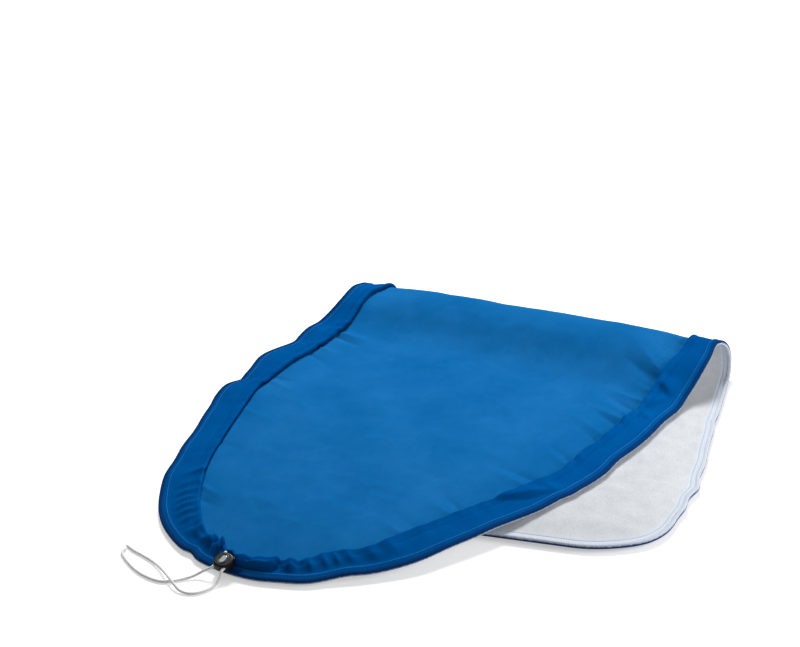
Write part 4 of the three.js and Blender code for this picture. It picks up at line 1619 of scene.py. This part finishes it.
@dataclass
class SkirtBand:
    """The cotton band along the edge, its inner edge turned back over the draw cord.

    Rows are insets in millimetres, the inner ones given by the first, the last and their number.
    """

    band: BandLay
    thickness: float = 0.5 * MM
    middle: float = 1.85 * MM
    outer_rows: tuple[float, ...] = (0.5, 2, 3.5, 5, 6, 7, 7.8, 8.4, 9.0, 9.6, 10.4, 11.2)
    inner_rows: tuple[float, float, int] = (12, 39, 17)
    seam_inset: float = 8.4 * MM
    seam_width: float = 0.7 * MM
    seam_dip: float = 0.22 * MM
    ridge: float = 1.0 * MM
    ridge_inset: float = 7.6 * MM
    ridge_width: float = 1.8 * MM
    arch: float = 2.4 * MM
    arch_start: float = 11 * MM
    arch_past: float = 4 * MM
    arch_before: float = 2 * MM
    turn_inset: float = 39.0 * MM
    roll_radius: float = 2.15 * MM
    roll_angles: tuple[float, float] = (-math.pi / 2 - 0.15, math.pi * 0.62)
    roll_points: int = 13
    roll_zone: tuple[float, float] = (35 * MM, 38 * MM)
    flap_end: float = 30 * MM
    flap_gap: float = -0.1 * MM
    flap_points: int = 8
    thin_end: float = 0.15
    least_height: float = 0.2 * MM
    right_lip: float = -3 * MM
    fine_step: float = 1.1 * MM
    fine_reach: float = 240 * MM
    coarse_step: float = 2.6 * MM

    def strip_path(self) -> Array:
        """Way of the flat part's middle, pulled in by the seam and arched before the hem.

        Returns:
            Insets and heights.
        """
        insets = np.concatenate([self.outer_rows, np.linspace(*self.inner_rows)]) * MM
        dip = self.seam_dip * bell(insets - self.seam_inset, self.seam_width)
        ridge = self.ridge * bell(insets - self.ridge_inset, self.ridge_width)
        return np.column_stack([insets, self.strip_height(insets) + ridge - dip])

    def strip_height(self, inset: Array) -> Array:
        """Height of the flat part's middle before the seam pulls it in.

        Args:
            inset: Distances in from the edge.

        Returns:
            One height per distance.
        """
        fall = smoothstep(inset, self.flap_end, self.turn_inset - self.arch_before)
        risen = smoothstep(inset, self.arch_start, self.flap_end + self.arch_past)
        return self.middle + self.arch * risen * (1 - fall)

    def hem_path(self) -> Array:
        """Way of the turned hem's middle, from the flat part round the cord to the flap.

        Returns:
            Insets and heights.
        """
        angles = np.linspace(*self.roll_angles, self.roll_points)
        roll = np.column_stack([
            self.band.cord_inset + self.roll_radius * np.cos(angles),
            self.band.cord_rise + self.roll_radius * np.sin(angles),
        ])
        ways = np.linspace(0, 1, self.flap_points)[1:]
        flap_inset = mix(roll[-1, 0], self.flap_end, ways)
        flap_height = self.strip_height(np.array([self.flap_end]))[0] + self.flap_gap
        flap = np.column_stack([flap_inset, mix(roll[-1, 1], flap_height, np.sin(ways * math.pi / 2))])
        return np.vstack([[[self.turn_inset, self.middle]], roll[1:], flap])

    def section(self, path: Array) -> Array:
        """Closed section of cloth along a path.

        Args:
            path: Insets and heights of the cloth's middle.

        Returns:
            One side's points, then the other's backwards.
        """
        ahead = unit(np.gradient(path, axis=0))
        half = np.full((len(path), 1), self.thickness / 2)
        half[-1] *= self.thin_end
        across = np.column_stack([-ahead[:, 1], ahead[:, 0]]) * half
        return np.vstack([path + across, (path - across)[::-1]])

    def swept(self, travel: Array, path: Array, closed: bool) -> Surface:
        """Cloth of one section along the edge.

        Args:
            travel: Ways along the edge.
            path: Insets and heights of the cloth's middle.
            closed: Whether it runs all round; if not, it is a hem that stays wide enough for the cord.

        Returns:
            Its surface.
        """
        section = self.section(path)
        rows, columns = len(travel), len(section)
        ways = np.repeat(travel, columns)
        insets = np.tile(section[:, 0], rows)
        heights = np.tile(section[:, 1], rows)
        if not closed:
            in_roll = smoothstep(insets, *self.roll_zone)
            cord_inset, cord_rise = self.band.cord_inset, self.band.cord_rise
            wider = np.repeat(self.band.steepness(travel, cord_inset), columns) - 1
            heights = heights + (heights - cord_rise) * wider * in_roll
            slant = np.repeat(self.band.slant(travel, cord_inset), columns) - 1
            insets = insets + (insets - cord_inset) * slant * in_roll
        points = self.band.place(ways, insets, np.maximum(heights, self.least_height))
        faces = grid_faces(rows, columns, closed, True) + ([] if closed else end_caps(rows, columns))
        run = ways_along(path)
        across = np.tile(np.concatenate([run, run[::-1]]), rows)
        return Surface(points, faces, np.column_stack([ways, across]))

    def build(self) -> Piece:
        """Sweep the strip all round, and the hem from behind the lock round to the mouth's left side.

        Returns:
            The band's object.
        """
        length = self.band.lay.edge.length
        mouth = self.band.mouth_width / 2
        near = np.arange(mouth, self.fine_reach, self.fine_step)
        right = np.concatenate([near, np.arange(self.fine_reach, length / 2, self.coarse_step)])
        around = np.concatenate([right, length - right[::-1]])
        inside = np.arange(self.fine_step - mouth, mouth - self.fine_step / 2, self.fine_step) % length
        strip = self.swept(np.concatenate([around, inside]), self.strip_path(), True)
        behind = np.arange(self.right_lip, mouth, self.fine_step)
        hem = self.swept(np.concatenate([behind, around]), self.hem_path(), False)
        shift = len(strip.points)
        faces = strip.faces + [[corner + shift for corner in face] for face in hem.faces]
        points, flat = (np.vstack(pair) for pair in ((strip.points, hem.points), (strip.flat, hem.flat)))
        return Surface(points, faces, flat).made("band_cloth", Finish.BAND)

    def dress(self) -> Piece:
        """Returns:
            The piece.
        """
        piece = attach(self.build(), Body.COVER.value)
        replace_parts(piece, "skirt_band")
        across = run_length(self.hem_path()) + self.turn_inset
        return piece


@dataclass
class OverlockEdge:
    """Overlock stitches wrapped round the edge of band, face and felt."""

    band: BandLay
    leg: float = 3.6 * MM
    leg_gap: float = 0.6 * MM
    leg_points: int = 5
    top: float = 2.55 * MM
    bottom: float = -2.05 * MM
    outside: float = -0.35 * MM
    bend_points: int = 9
    bend_depth: float = 0.35
    stitch: float = 2.4 * MM
    per_stitch: int = 6
    swell: float = 0.32 * MM
    sunk: float = 0.35
    inside: float = 0.25 * MM
    lean: float = 0.25
    felt_start: tuple[float, float] = (0.5 * MM, 0.9 * MM)
    fleck_start: tuple[float, float] = (-0.4 * MM, 0.5 * MM)
    fleck_levels: tuple[float, float] = (-0.4, 0.6)
    flecks: SoftNoise = SoftNoise(1.0, 2.2 * MM, 31)

    def wrap(self) -> tuple[Array, Array]:
        """Way of the thread from its upper leg round the edge to its lower leg.

        Returns:
            Insets and heights of its points, and the direction outwards at each.
        """
        middle = (self.top + self.bottom) / 2
        half = (self.top - self.bottom) / 2
        bend = np.linspace(math.pi / 2, -math.pi / 2, self.bend_points)
        bend_inset = self.outside + half * self.bend_depth * (1 - np.cos(bend))
        round_edge = np.column_stack([bend_inset, middle + half * np.sin(bend)])
        legs = np.linspace(self.leg, bend_inset[0] + self.leg_gap, self.leg_points)
        upper = np.column_stack([legs, np.full(self.leg_points, self.top)])
        lower = np.column_stack([legs[::-1], np.full(self.leg_points, self.bottom)])
        up = np.tile([0, 1], (self.leg_points, 1))
        out = np.vstack([up, np.column_stack([-np.cos(bend), np.sin(bend)]), -up])
        return np.vstack([upper, round_edge, lower]), out

    def build(self) -> Piece:
        """Wrap a ribbed strip of thread, each rib one stitch, round the whole edge.

        Returns:
            The edge's object, marked where the felt shows through.
        """
        length = self.band.lay.edge.length
        rows = round(length / self.stitch) * self.per_stitch
        travel = np.arange(rows) * length / rows
        path, out = self.wrap()
        columns = 2 * len(path)
        rib = np.abs(np.sin(math.pi * np.arange(rows) / self.per_stitch))[:, None, None]
        outer = path[None] + out[None] * self.swell * (rib - self.sunk)
        inner = np.broadcast_to(path[None, ::-1] - out[None, ::-1] * self.inside, outer.shape)
        insets, heights = np.concatenate([outer, inner], axis=1).reshape(-1, 2).T
        slant = np.tile(np.concatenate([path[:, 0], path[::-1, 0]]), rows) * self.lean
        ways = np.repeat(travel, columns) + slant
        points = self.band.place(ways % length, insets, heights)
        surface = Surface(points, grid_faces(rows, columns, True, True), np.column_stack([ways, heights]))
        fleck = smoothstep(self.flecks.at(np.column_stack([ways, insets])), *self.fleck_levels)
        fleck = fleck * smoothstep(-heights, *self.fleck_start)
        surface.marks["felt_side"] = np.maximum(smoothstep(-heights, *self.felt_start), fleck)
        return surface.made("overlock_stitches", Finish.OVERLOCK)

    def dress(self) -> Piece:
        """Build it and set it on the cover."""
        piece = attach(self.build(), Body.COVER.value)
        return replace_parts(piece, "overlock_edge")


@dataclass
class StitchRow:
    """A row of lockstitches round the cover, in place of one thread of the CAD model.

    The form gives the rings of a stitch: share of its length, and sink and girth, both in radii.
    """

    band: BandLay
    name: str
    node: str
    slot: str
    finish: Finish
    inset: float
    height: float
    gap: float = 0.0
    radius: float = 0.3 * MM
    pitch: float = 3.2 * MM
    sides: int = 6
    form: tuple[Place, ...] = (
        (0.06, -1.1, 0.5), (0.16, -0.3, 0.9), (0.36, 0.0, 1.0),
        (0.64, 0.0, 1.0), (0.84, -0.3, 0.9), (0.94, -1.1, 0.5),
    )

    def build(self) -> Piece:
        """One short thread per stitch, its ends pulled into the cloth.

        Returns:
            The row's object.
        """
        length = self.band.lay.edge.length
        count = round((length - self.gap) / self.pitch)
        starts = self.gap / 2 + np.arange(count) * (length - self.gap) / count
        shares, sink, girth = np.array(self.form).T
        sink = sink * self.radius * math.copysign(1, self.height)
        girth = girth[:, None] * self.radius
        rings = len(shares)
        angles = np.arange(self.sides) * 2 * math.pi / self.sides
        shape = (count, rings, self.sides)
        ways = np.broadcast_to((starts[:, None] + shares * self.pitch)[:, :, None], shape).ravel()
        insets = np.broadcast_to(self.inset + girth * np.cos(angles), shape).ravel()
        heights = np.broadcast_to(self.height + sink[:, None] + girth * np.sin(angles), shape).ravel()
        points = self.band.place(ways, insets, heights)
        one = np.array(grid_faces(rings, self.sides, False, True))
        caps = np.array(end_caps(rings, self.sides))
        shifts = (np.arange(count) * rings * self.sides)[:, None, None]
        faces = (one + shifts).reshape(-1, 4).tolist() + (caps + shifts).reshape(-1, self.sides).tolist()
        flat = np.column_stack([ways, np.tile(np.tile(angles, rings) * self.radius, count)])
        return Surface(points, faces, flat).made(self.name, self.finish)

    def dress(self) -> Piece:
        """Build it and set it on the cover."""
        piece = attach(self.build(), Body.COVER.value)
        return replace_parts(piece, self.node)


@dataclass
class LockFrame:
    """The cord lock's place: it leans on the sewn edge at the nose, tilted outwards."""

    lay: FoldedLay
    seat_inset: float = -0.8 * MM
    seat_height: float = 3.2 * MM
    tilt: float = math.radians(15)
    inset: float = 4.5 * MM
    length: float = 20.2 * MM
    height: float = 9.15 * MM
    strand_spacing: float = 12 * MM
    bore_height: float = 5.6 * MM
    matrix: Matrix = field(init=False)

    def __post_init__(self) -> None:
        """Set the frame on the edge at the mouth."""
        cut = self.lay.edge.cut
        seat = np.array([[cut.length - self.seat_inset, self.lay.edge.mouth_side]])
        place = Matrix.Translation(Vector(self.lay.place(seat, self.seat_height)[0]))
        turn = Matrix.Rotation(self.lay.skew, 4, "Z") @ Matrix.Rotation(self.tilt, 4, "X")
        self.matrix = place @ turn

    def at(self, right: float, inwards: float, up: float) -> Array:
        """Point in the lock's own frame."""
        return np.array(self.matrix @ Vector((right, inwards, up)))

    def on_strand(self, side: float, inwards: float) -> Array:
        """Point on a strand's axis, at a distance in from the sewn edge."""
        return self.at(side * self.strand_spacing / 2, inwards, self.bore_height)

    def from_lock(self, right: float, outwards: float, up: float) -> Array:
        """Point over the ground by the lock.

        Args:
            right: Distance to the right of the lock's middle.
            outwards: Distance out from it.
            up: Height over the ground.

        Returns:
            The point in the row frame.
        """
        flat = Matrix.Rotation(self.lay.skew, 3, "Z") @ Vector((right, self.inset - outwards, 0))
        middle = self.matrix.translation
        return np.array((middle.x + flat.x, middle.y + flat.y, up))


# Free ends of the cord, in millimetres: right of the lock's middle, out from it, and over the ground.
TAILS: dict[Side, tuple[Place, ...]] = {
    Side.LEFT: (
        (-12.7, 16.9, 7.5), (-20.6, 26.4, 2.6), (-27.3, 35.6, 1.6), (-34, 44.6, 1.6), (-43.5, 50.4, 1.6),
        (-59.8, 51.4, 1.6), (-76.1, 48.2, 1.6), (-91.8, 41.6, 1.6), (-103.5, 35.3, 1.6),
        (-109.8, 30, 1.6), (-110.6, 23.5, 1.6),
    ),
    Side.RIGHT: (
        (7.8, 18.6, 6.6), (7.6, 26.2, 2.2), (6, 36.5, 1.6), (1.2, 46.2, 1.6), (-6, 51.6, 1.6),
        (-15.3, 53, 2.4), (-25.9, 49.5, 4.6), (-38.6, 43, 5.3), (-56.6, 32.9, 3.2), (-72.7, 26.3, 1.8),
        (-88.7, 22.9, 1.6), (-103.4, 20.6, 1.6), (-114.8, 17, 1.6),
    ),
}


@dataclass
class CordTube:
    """A braided cord along a path."""

    path: Array
    radius: float = 1.5 * MM
    sides: int = 16
    yarns: int = 6
    lay_length: float = 7 * MM
    relief: float = 0.05
    sealed: bool = False
    melt_length: float = 0.8 * MM
    melt_tip: float = 0.16
    upright: float = 0.1

    def surface(self) -> Surface:
        """Round tube whose radius follows the crossing yarns, with a melted end where it is sealed.

        Returns:
            The tube, marked where the yarns stand out.
        """
        ways = ways_along(self.path)
        ahead = unit(np.gradient(self.path, axis=0))
        across = self.carried_round(ahead)
        up = np.cross(ahead, across)
        angles = np.arange(self.sides) * 2 * math.pi / self.sides
        twist = 2 * math.pi * ways[:, None] / self.lay_length
        yarn = np.abs(np.sin((self.yarns * angles + twist * self.yarns / 2) / 2))
        yarn = np.maximum(yarn, np.abs(np.sin((self.yarns * angles - twist * self.yarns / 2) / 2)))
        girth = self.radius * (1 - self.relief * (1 - yarn))
        if self.sealed:
            to_end = np.clip((ways[-1] - ways) / self.melt_length, self.melt_tip, 1)
            girth = girth * np.sqrt(to_end)[:, None]
        cosines, sines = np.cos(angles)[None, :, None], np.sin(angles)[None, :, None]
        out = across[:, None, :] * cosines + up[:, None, :] * sines
        points = self.path[:, None, :] + out * girth[:, :, None]
        rows = len(self.path)
        flat = np.column_stack([np.tile(angles * self.radius, rows), np.repeat(ways, self.sides)])
        faces = grid_faces(rows, self.sides, False, True) + end_caps(rows, self.sides)
        return Surface(points.reshape(-1, 3), faces, flat, {"yarn": yarn.ravel()})

    def carried_round(self, ahead: Array) -> Array:
        """A sideways direction carried along the path without twist.

        Args:
            ahead: Directions along the path.

        Returns:
            One sideways direction per point.
        """
        across = np.cross([0.0, 0.0, 1.0], ahead[0])
        if np.linalg.norm(across) < self.upright:
            across = np.array([1.0, 0.0, 0.0])
        found = []
        for way in ahead:
            across = unit(across - way * (across @ way))
            found.append(across)
        return np.array(found)


@dataclass
class DrawCord:
    """The draw cord: its run in the hem, and the two strands through the lock to their free ends."""

    band: BandLay
    lock: LockFrame
    diameter: float = 3 * MM
    pressed: float = 2.7 * MM
    neck_start: float = 16.4 * MM
    neck_step: float = 2 * MM
    lock_exit: tuple[float, float] = (0.3 * MM, 1.3 * MM)
    strand_step: float = 0.7 * MM
    hem_step: float = 1.5 * MM
    turn_back: float = 3 * MM
    turn_step: float = 0.8 * MM
    turn_sag: float = 1.5 * MM
    overlap: float = 1.5 * MM
    hem_sides: int = 10

    def strand_path(self, side: Side) -> Array:
        """Way of a strand from the mouth through the lock to its free end.

        Args:
            side: Which strand.

        Returns:
            Close points along it.
        """
        out = self.lock.inset - self.lock.length / 2
        ways = [*np.arange(self.neck_start, out, -self.neck_step), *(out - np.array(self.lock_exit))]
        neck = [self.lock.on_strand(side.value, way) for way in ways]
        route = [self.lock.from_lock(*(value * MM for value in point)) for point in TAILS[side]]
        return smooth_run(np.array([*neck, *route]), self.strand_step)

    def strand(self, side: Side) -> Piece:
        """One strand, from the mouth through the lock to its free end.

        Args:
            side: Which strand.

        Returns:
            The piece.
        """
        path = self.strand_path(side)
        name = side.name.lower()
        tube = CordTube(path, self.diameter / 2, sealed=True)
        piece = tube.surface().made("cord_strand_" + name, Finish.CORD)
        start = self.lock.on_strand(side.value, self.neck_start)
        end = self.lock.on_strand(side.value, self.lock.inset + self.lock.length / 2)
        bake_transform(piece)
        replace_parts(piece, "cord_neck_" + name, "cord_tail_" + name)
        return piece

    def hem_path(self) -> Array:
        """Way of the cord from the mouth's right side round the cover to its left side.

        Returns:
            Close points along it.
        """
        length = self.band.lay.edge.length
        edge = self.band.mouth_width / 2 + self.turn_back
        travel = np.linspace(edge, length - edge, round(length / self.hem_step))
        inset = np.full(len(travel), self.band.cord_inset)
        hem = self.band.place(travel, inset, np.full(len(travel), self.band.cord_rise))
        right = self.mouth_turn(Side.RIGHT, hem[0])
        left = self.mouth_turn(Side.LEFT, hem[-1])
        return np.vstack([right[::-1], hem[1:-1], left])

    def mouth_turn(self, side: Side, lip: Array) -> Array:
        """Way from the hem's end out of the mouth towards the lock.

        Args:
            side: Which side of the mouth.
            lip: Where the cord leaves the hem.

        Returns:
            Close points along it.
        """
        ends = [self.lock.on_strand(side.value, self.neck_start - way) for way in (0.0, self.overlap)]
        low = (lip + ends[0]) / 2 - np.array([0, 0, self.turn_sag])
        return smooth_run(np.array([lip, low, *ends]), self.turn_step)

    def hem_run(self) -> Piece:
        """The run in the hem, which presses it a little thinner.

        Returns:
            The run's object.
        """
        path = self.hem_path()
        tube = CordTube(path, self.pressed / 2, sides=self.hem_sides)
        piece = tube.surface().made("cord_in_hem", Finish.CORD)
        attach(piece, Body.COVER.value)
        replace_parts(piece, "drawcord")
        LOG.info("cord in the hem is %.0f mm long", run_length(path) / MM)
        return piece

    def dress(self) -> list[Piece]:
        """Build the run and both strands."""
        return [self.hem_run(), *(self.strand(side) for side in Side)]


@dataclass
class CordLock:
    """The sprung cord lock: CAD body, base and button with their finishes, a rim and the spring."""

    lock: LockFrame
    window_width: float = 7 * MM
    window_length: float = 11 * MM
    rim_radius: float = 0.75 * MM
    rim_flatness: float = 0.8
    rim_steps: int = 64
    rim_sides: int = 10
    squareness: float = 2.6
    crisp_angle: float = math.radians(38)
    spring_radius: float = 1.9 * MM
    wire: float = 0.5 * MM
    wire_sides: int = 8
    curls: int = 4
    curl_steps: int = 20
    spring_span: tuple[float, float] = (1.55 * MM, 7.0 * MM)
    press: float = 1.5 * MM

    def dress_nodes(self) -> None:
        """Give the CAD pieces their finishes and smooth faces with crisp edges."""
        finishes = {"lock_body": Finish.LOCK, "lock_base": Finish.LOCK, "lock_button": Finish.BUTTON}
        for node, finish in finishes.items():
            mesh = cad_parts[node].data
            mesh.materials.clear()
            mesh.materials.append(finish.material())
            mesh.shade_smooth()
            mesh.set_sharp_from_angle(angle=self.crisp_angle)

    def rim(self) -> Piece:
        """Raised rim round the button's window.

        Returns:
            The rim, on the lock.
        """
        turns = np.linspace(0, 2 * math.pi, self.rim_steps, endpoint=False)
        halves = [size / 2 + self.rim_radius for size in (self.window_width, self.window_length)]
        loop = np.column_stack([
            half * np.sign(wave) * np.abs(wave) ** (2 / self.squareness)
            for half, wave in zip(halves, (np.cos(turns), np.sin(turns)))
        ])
        ahead = unit(np.roll(loop, -1, axis=0) - np.roll(loop, 1, axis=0))
        out = np.column_stack([ahead[:, 1], -ahead[:, 0]])
        angles = np.arange(self.rim_sides) * 2 * math.pi / self.rim_sides
        sideways = self.rim_radius * np.cos(angles)
        rises = self.lock.height + self.rim_radius * self.rim_flatness * np.sin(angles)
        points = [
            self.lock.at(x + dx * shift, self.lock.inset + y + dy * shift, rise)
            for (x, y), (dx, dy) in zip(loop, out)
            for shift, rise in zip(sideways, rises)
        ]
        flat = np.column_stack([np.repeat(turns, self.rim_sides), np.tile(angles, self.rim_steps)]) * MM
        surface = Surface(np.array(points), grid_faces(self.rim_steps, self.rim_sides, True, True), flat)
        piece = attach(surface.made("lock_rim", Finish.RIM), Body.LOCK.value)
        return piece

    def spring(self) -> Piece:
        """Coil spring under the button.

        Returns:
            The spring, on the lock.
        """
        low, high = self.spring_span
        steps = self.curl_steps * self.curls
        turns = [2 * math.pi * i / self.curl_steps for i in range(steps + 1)]
        path = np.array([
            self.lock.at(
                self.spring_radius * math.cos(turn),
                self.lock.inset + self.spring_radius * math.sin(turn),
                mix(low, high, i / steps),
            )
            for i, turn in enumerate(turns)
        ])
        tube = CordTube(path, self.wire / 2, sides=self.wire_sides, relief=0.0)
        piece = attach(tube.surface().made("coil_spring", Finish.SPRING), Body.LOCK.value)
        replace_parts(piece, "lock_spring")
        anchor = self.lock.at(0, self.lock.inset, low - self.wire / 2)
        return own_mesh(piece)

    def dress(self) -> list[Piece]:
        """Finish the CAD pieces and add the rim and the spring."""
        self.dress_nodes()
        return [self.rim(), self.spring()]


@dataclass
class Studio:
    """Pale floor, soft light from the back left, and the photograph's camera."""

    camera_place: Place = (0.79324, -1.86463, 1.13634)
    camera_aim: Place = (-0.18386, 0.28153, 0.0)
    focal_pixels: float = 2090.3
    image_width: float = 800.0
    sensor: float = 36.0
    sky: float = 0.16
    floor_glow: float = 0.45
    floor_reach: float = 6.0
    floor_drop: float = 0.2 * MM
    paper: tuple[Colour, Colour] = ((244, 244, 245), (248, 248, 248))
    lamps: tuple[tuple[str, Place, float, float], ...] = (
        ("key_light", (-0.75, 1.45, 1.9), 0.8, 66.0),
        ("bounce_card", (0.9, 0.1, 0.3), 0.5, 4.8),
    )

    def build(self) -> None:
        """Set up camera, world, floor and lights."""
        self.camera()
        self.world()
        self.floor()
        for lamp in self.lamps:
            self.lamp(*lamp)
        bpy.context.scene.view_settings.view_transform = "Standard"

    def camera(self) -> None:
        """Camera at the angle fitted to the photograph."""
        data = bpy.data.cameras.new("photo_camera")
        data.sensor_width = self.sensor
        data.lens = self.focal_pixels * self.sensor / self.image_width
        camera = linked("photo_camera", data)
        camera.matrix_world = aimed(self.camera_place, self.camera_aim)
        bpy.context.scene.camera = camera

    def world(self) -> None:
        """White to the camera, a plain grey dome to everything else."""
        world = bpy.data.worlds.new("studio_world")
        world.use_nodes = True
        tree = world.node_tree
        back = tree.nodes["Background"]
        rays = tree.nodes.new("ShaderNodeLightPath")
        level = tree.nodes.new("ShaderNodeMapRange")
        tree.links.new(rays.outputs["Is Camera Ray"], level.inputs["Value"])
        level.inputs["To Min"].default_value = self.sky
        level.inputs["To Max"].default_value = 1.0
        back.inputs["Color"].default_value = (1.0, 1.0, 1.0, 1.0)
        tree.links.new(level.outputs["Result"], back.inputs["Strength"])
        bpy.context.scene.world = world

    def floor(self) -> None:
        """Large white floor that keeps the shadow."""
        reach = self.floor_reach
        mesh = bpy.data.meshes.new("floor")
        corners = [(-reach, -reach, 0), (reach, -reach, 0), (reach, reach, 0), (-reach, reach, 0)]
        mesh.from_pydata(corners, [], [[0, 1, 2, 3]])
        floor = linked("floor", mesh)
        floor.location.z = -self.floor_drop
        graph = Graph("floor_paper")
        where = graph.add("ShaderNodeTexCoord", {}, "Object")
        tooth = graph.noise(where, scale=300.0, detail=3.0)
        glow = graph.math(graph.add("ShaderNodeLightPath", {}, "Is Camera Ray"), self.floor_glow)
        paper = graph.blend(tooth, linear(self.paper[0]), linear(self.paper[1]))
        mesh.materials.append(graph.finish({
            "Base Color": paper,
            "Roughness": graph.levels(tooth, 0.85, 0.95),
            "Specular IOR Level": 0.0,
            "Emission Color": (1.0, 1.0, 1.0, 1.0),
            "Emission Strength": glow,
        }))

    def lamp(self, name: str, place: Place, size: float, power: float) -> None:
        """Square soft light that points at the object's middle.

        Args:
            name: Name of the light.
            place: Where it hangs.
            size: Side of the square.
            power: Its power in watts.
        """
        data = bpy.data.lights.new(name, "AREA")
        data.size = size
        data.energy = power
        linked(name, data).matrix_world = aimed(place, (0.0, 0.0, 0.0))


def stitch_rows(band: BandLay) -> list[StitchRow]:
    """The edge seam's two sides, and the seam that holds the hem's flap.

    Args:
        band: Where the band lies.

    Returns:
        The three rows.
    """
    on_face, on_felt, on_hem = 2.8 * MM, -1.35 * MM, 4.4 * MM
    hem_inset, hem_gap, hem_radius = 31.5 * MM, 24 * MM, 0.2 * MM
    face_seam = ("seam_stitches", "seam_thread_face", "seam_thread", Finish.SEAM)
    felt_seam = ("felt_stitches", "seam_thread_felt", "felt_thread", Finish.FELT_SEAM)
    hem_seam = ("hem_stitches", "hem_thread", "hem_thread", Finish.HEM_SEAM)
    return [
        StitchRow(band, *face_seam, SkirtBand.seam_inset, on_face),
        StitchRow(band, *felt_seam, FeltPad.seam_inset, on_felt),
        StitchRow(band, *hem_seam, hem_inset, on_hem, hem_gap, hem_radius),
    ]


def main() -> None:
    """Build every piece in order and report it."""
    logging.basicConfig(level=logging.INFO, format="%(name)s: %(message)s")
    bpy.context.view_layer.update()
    Studio().build()
    lay = FoldedLay(EdgePath(CoverCut()))
    band = BandLay(lay)
    lock = LockFrame(lay)
    makers = [
        DrawCord(band, lock), FeltPad(lay), FaceFabric(band), SkirtBand(band), OverlockEdge(band),
        *stitch_rows(band), CordLock(lock),
    ]
    for maker in makers:
        made = maker.dress()
        for piece in made if isinstance(made, list) else [made]:
            LOG.info("%s: %d faces", piece.name, len(piece.data.polygons))


if __name__ == "__main__":
    main()
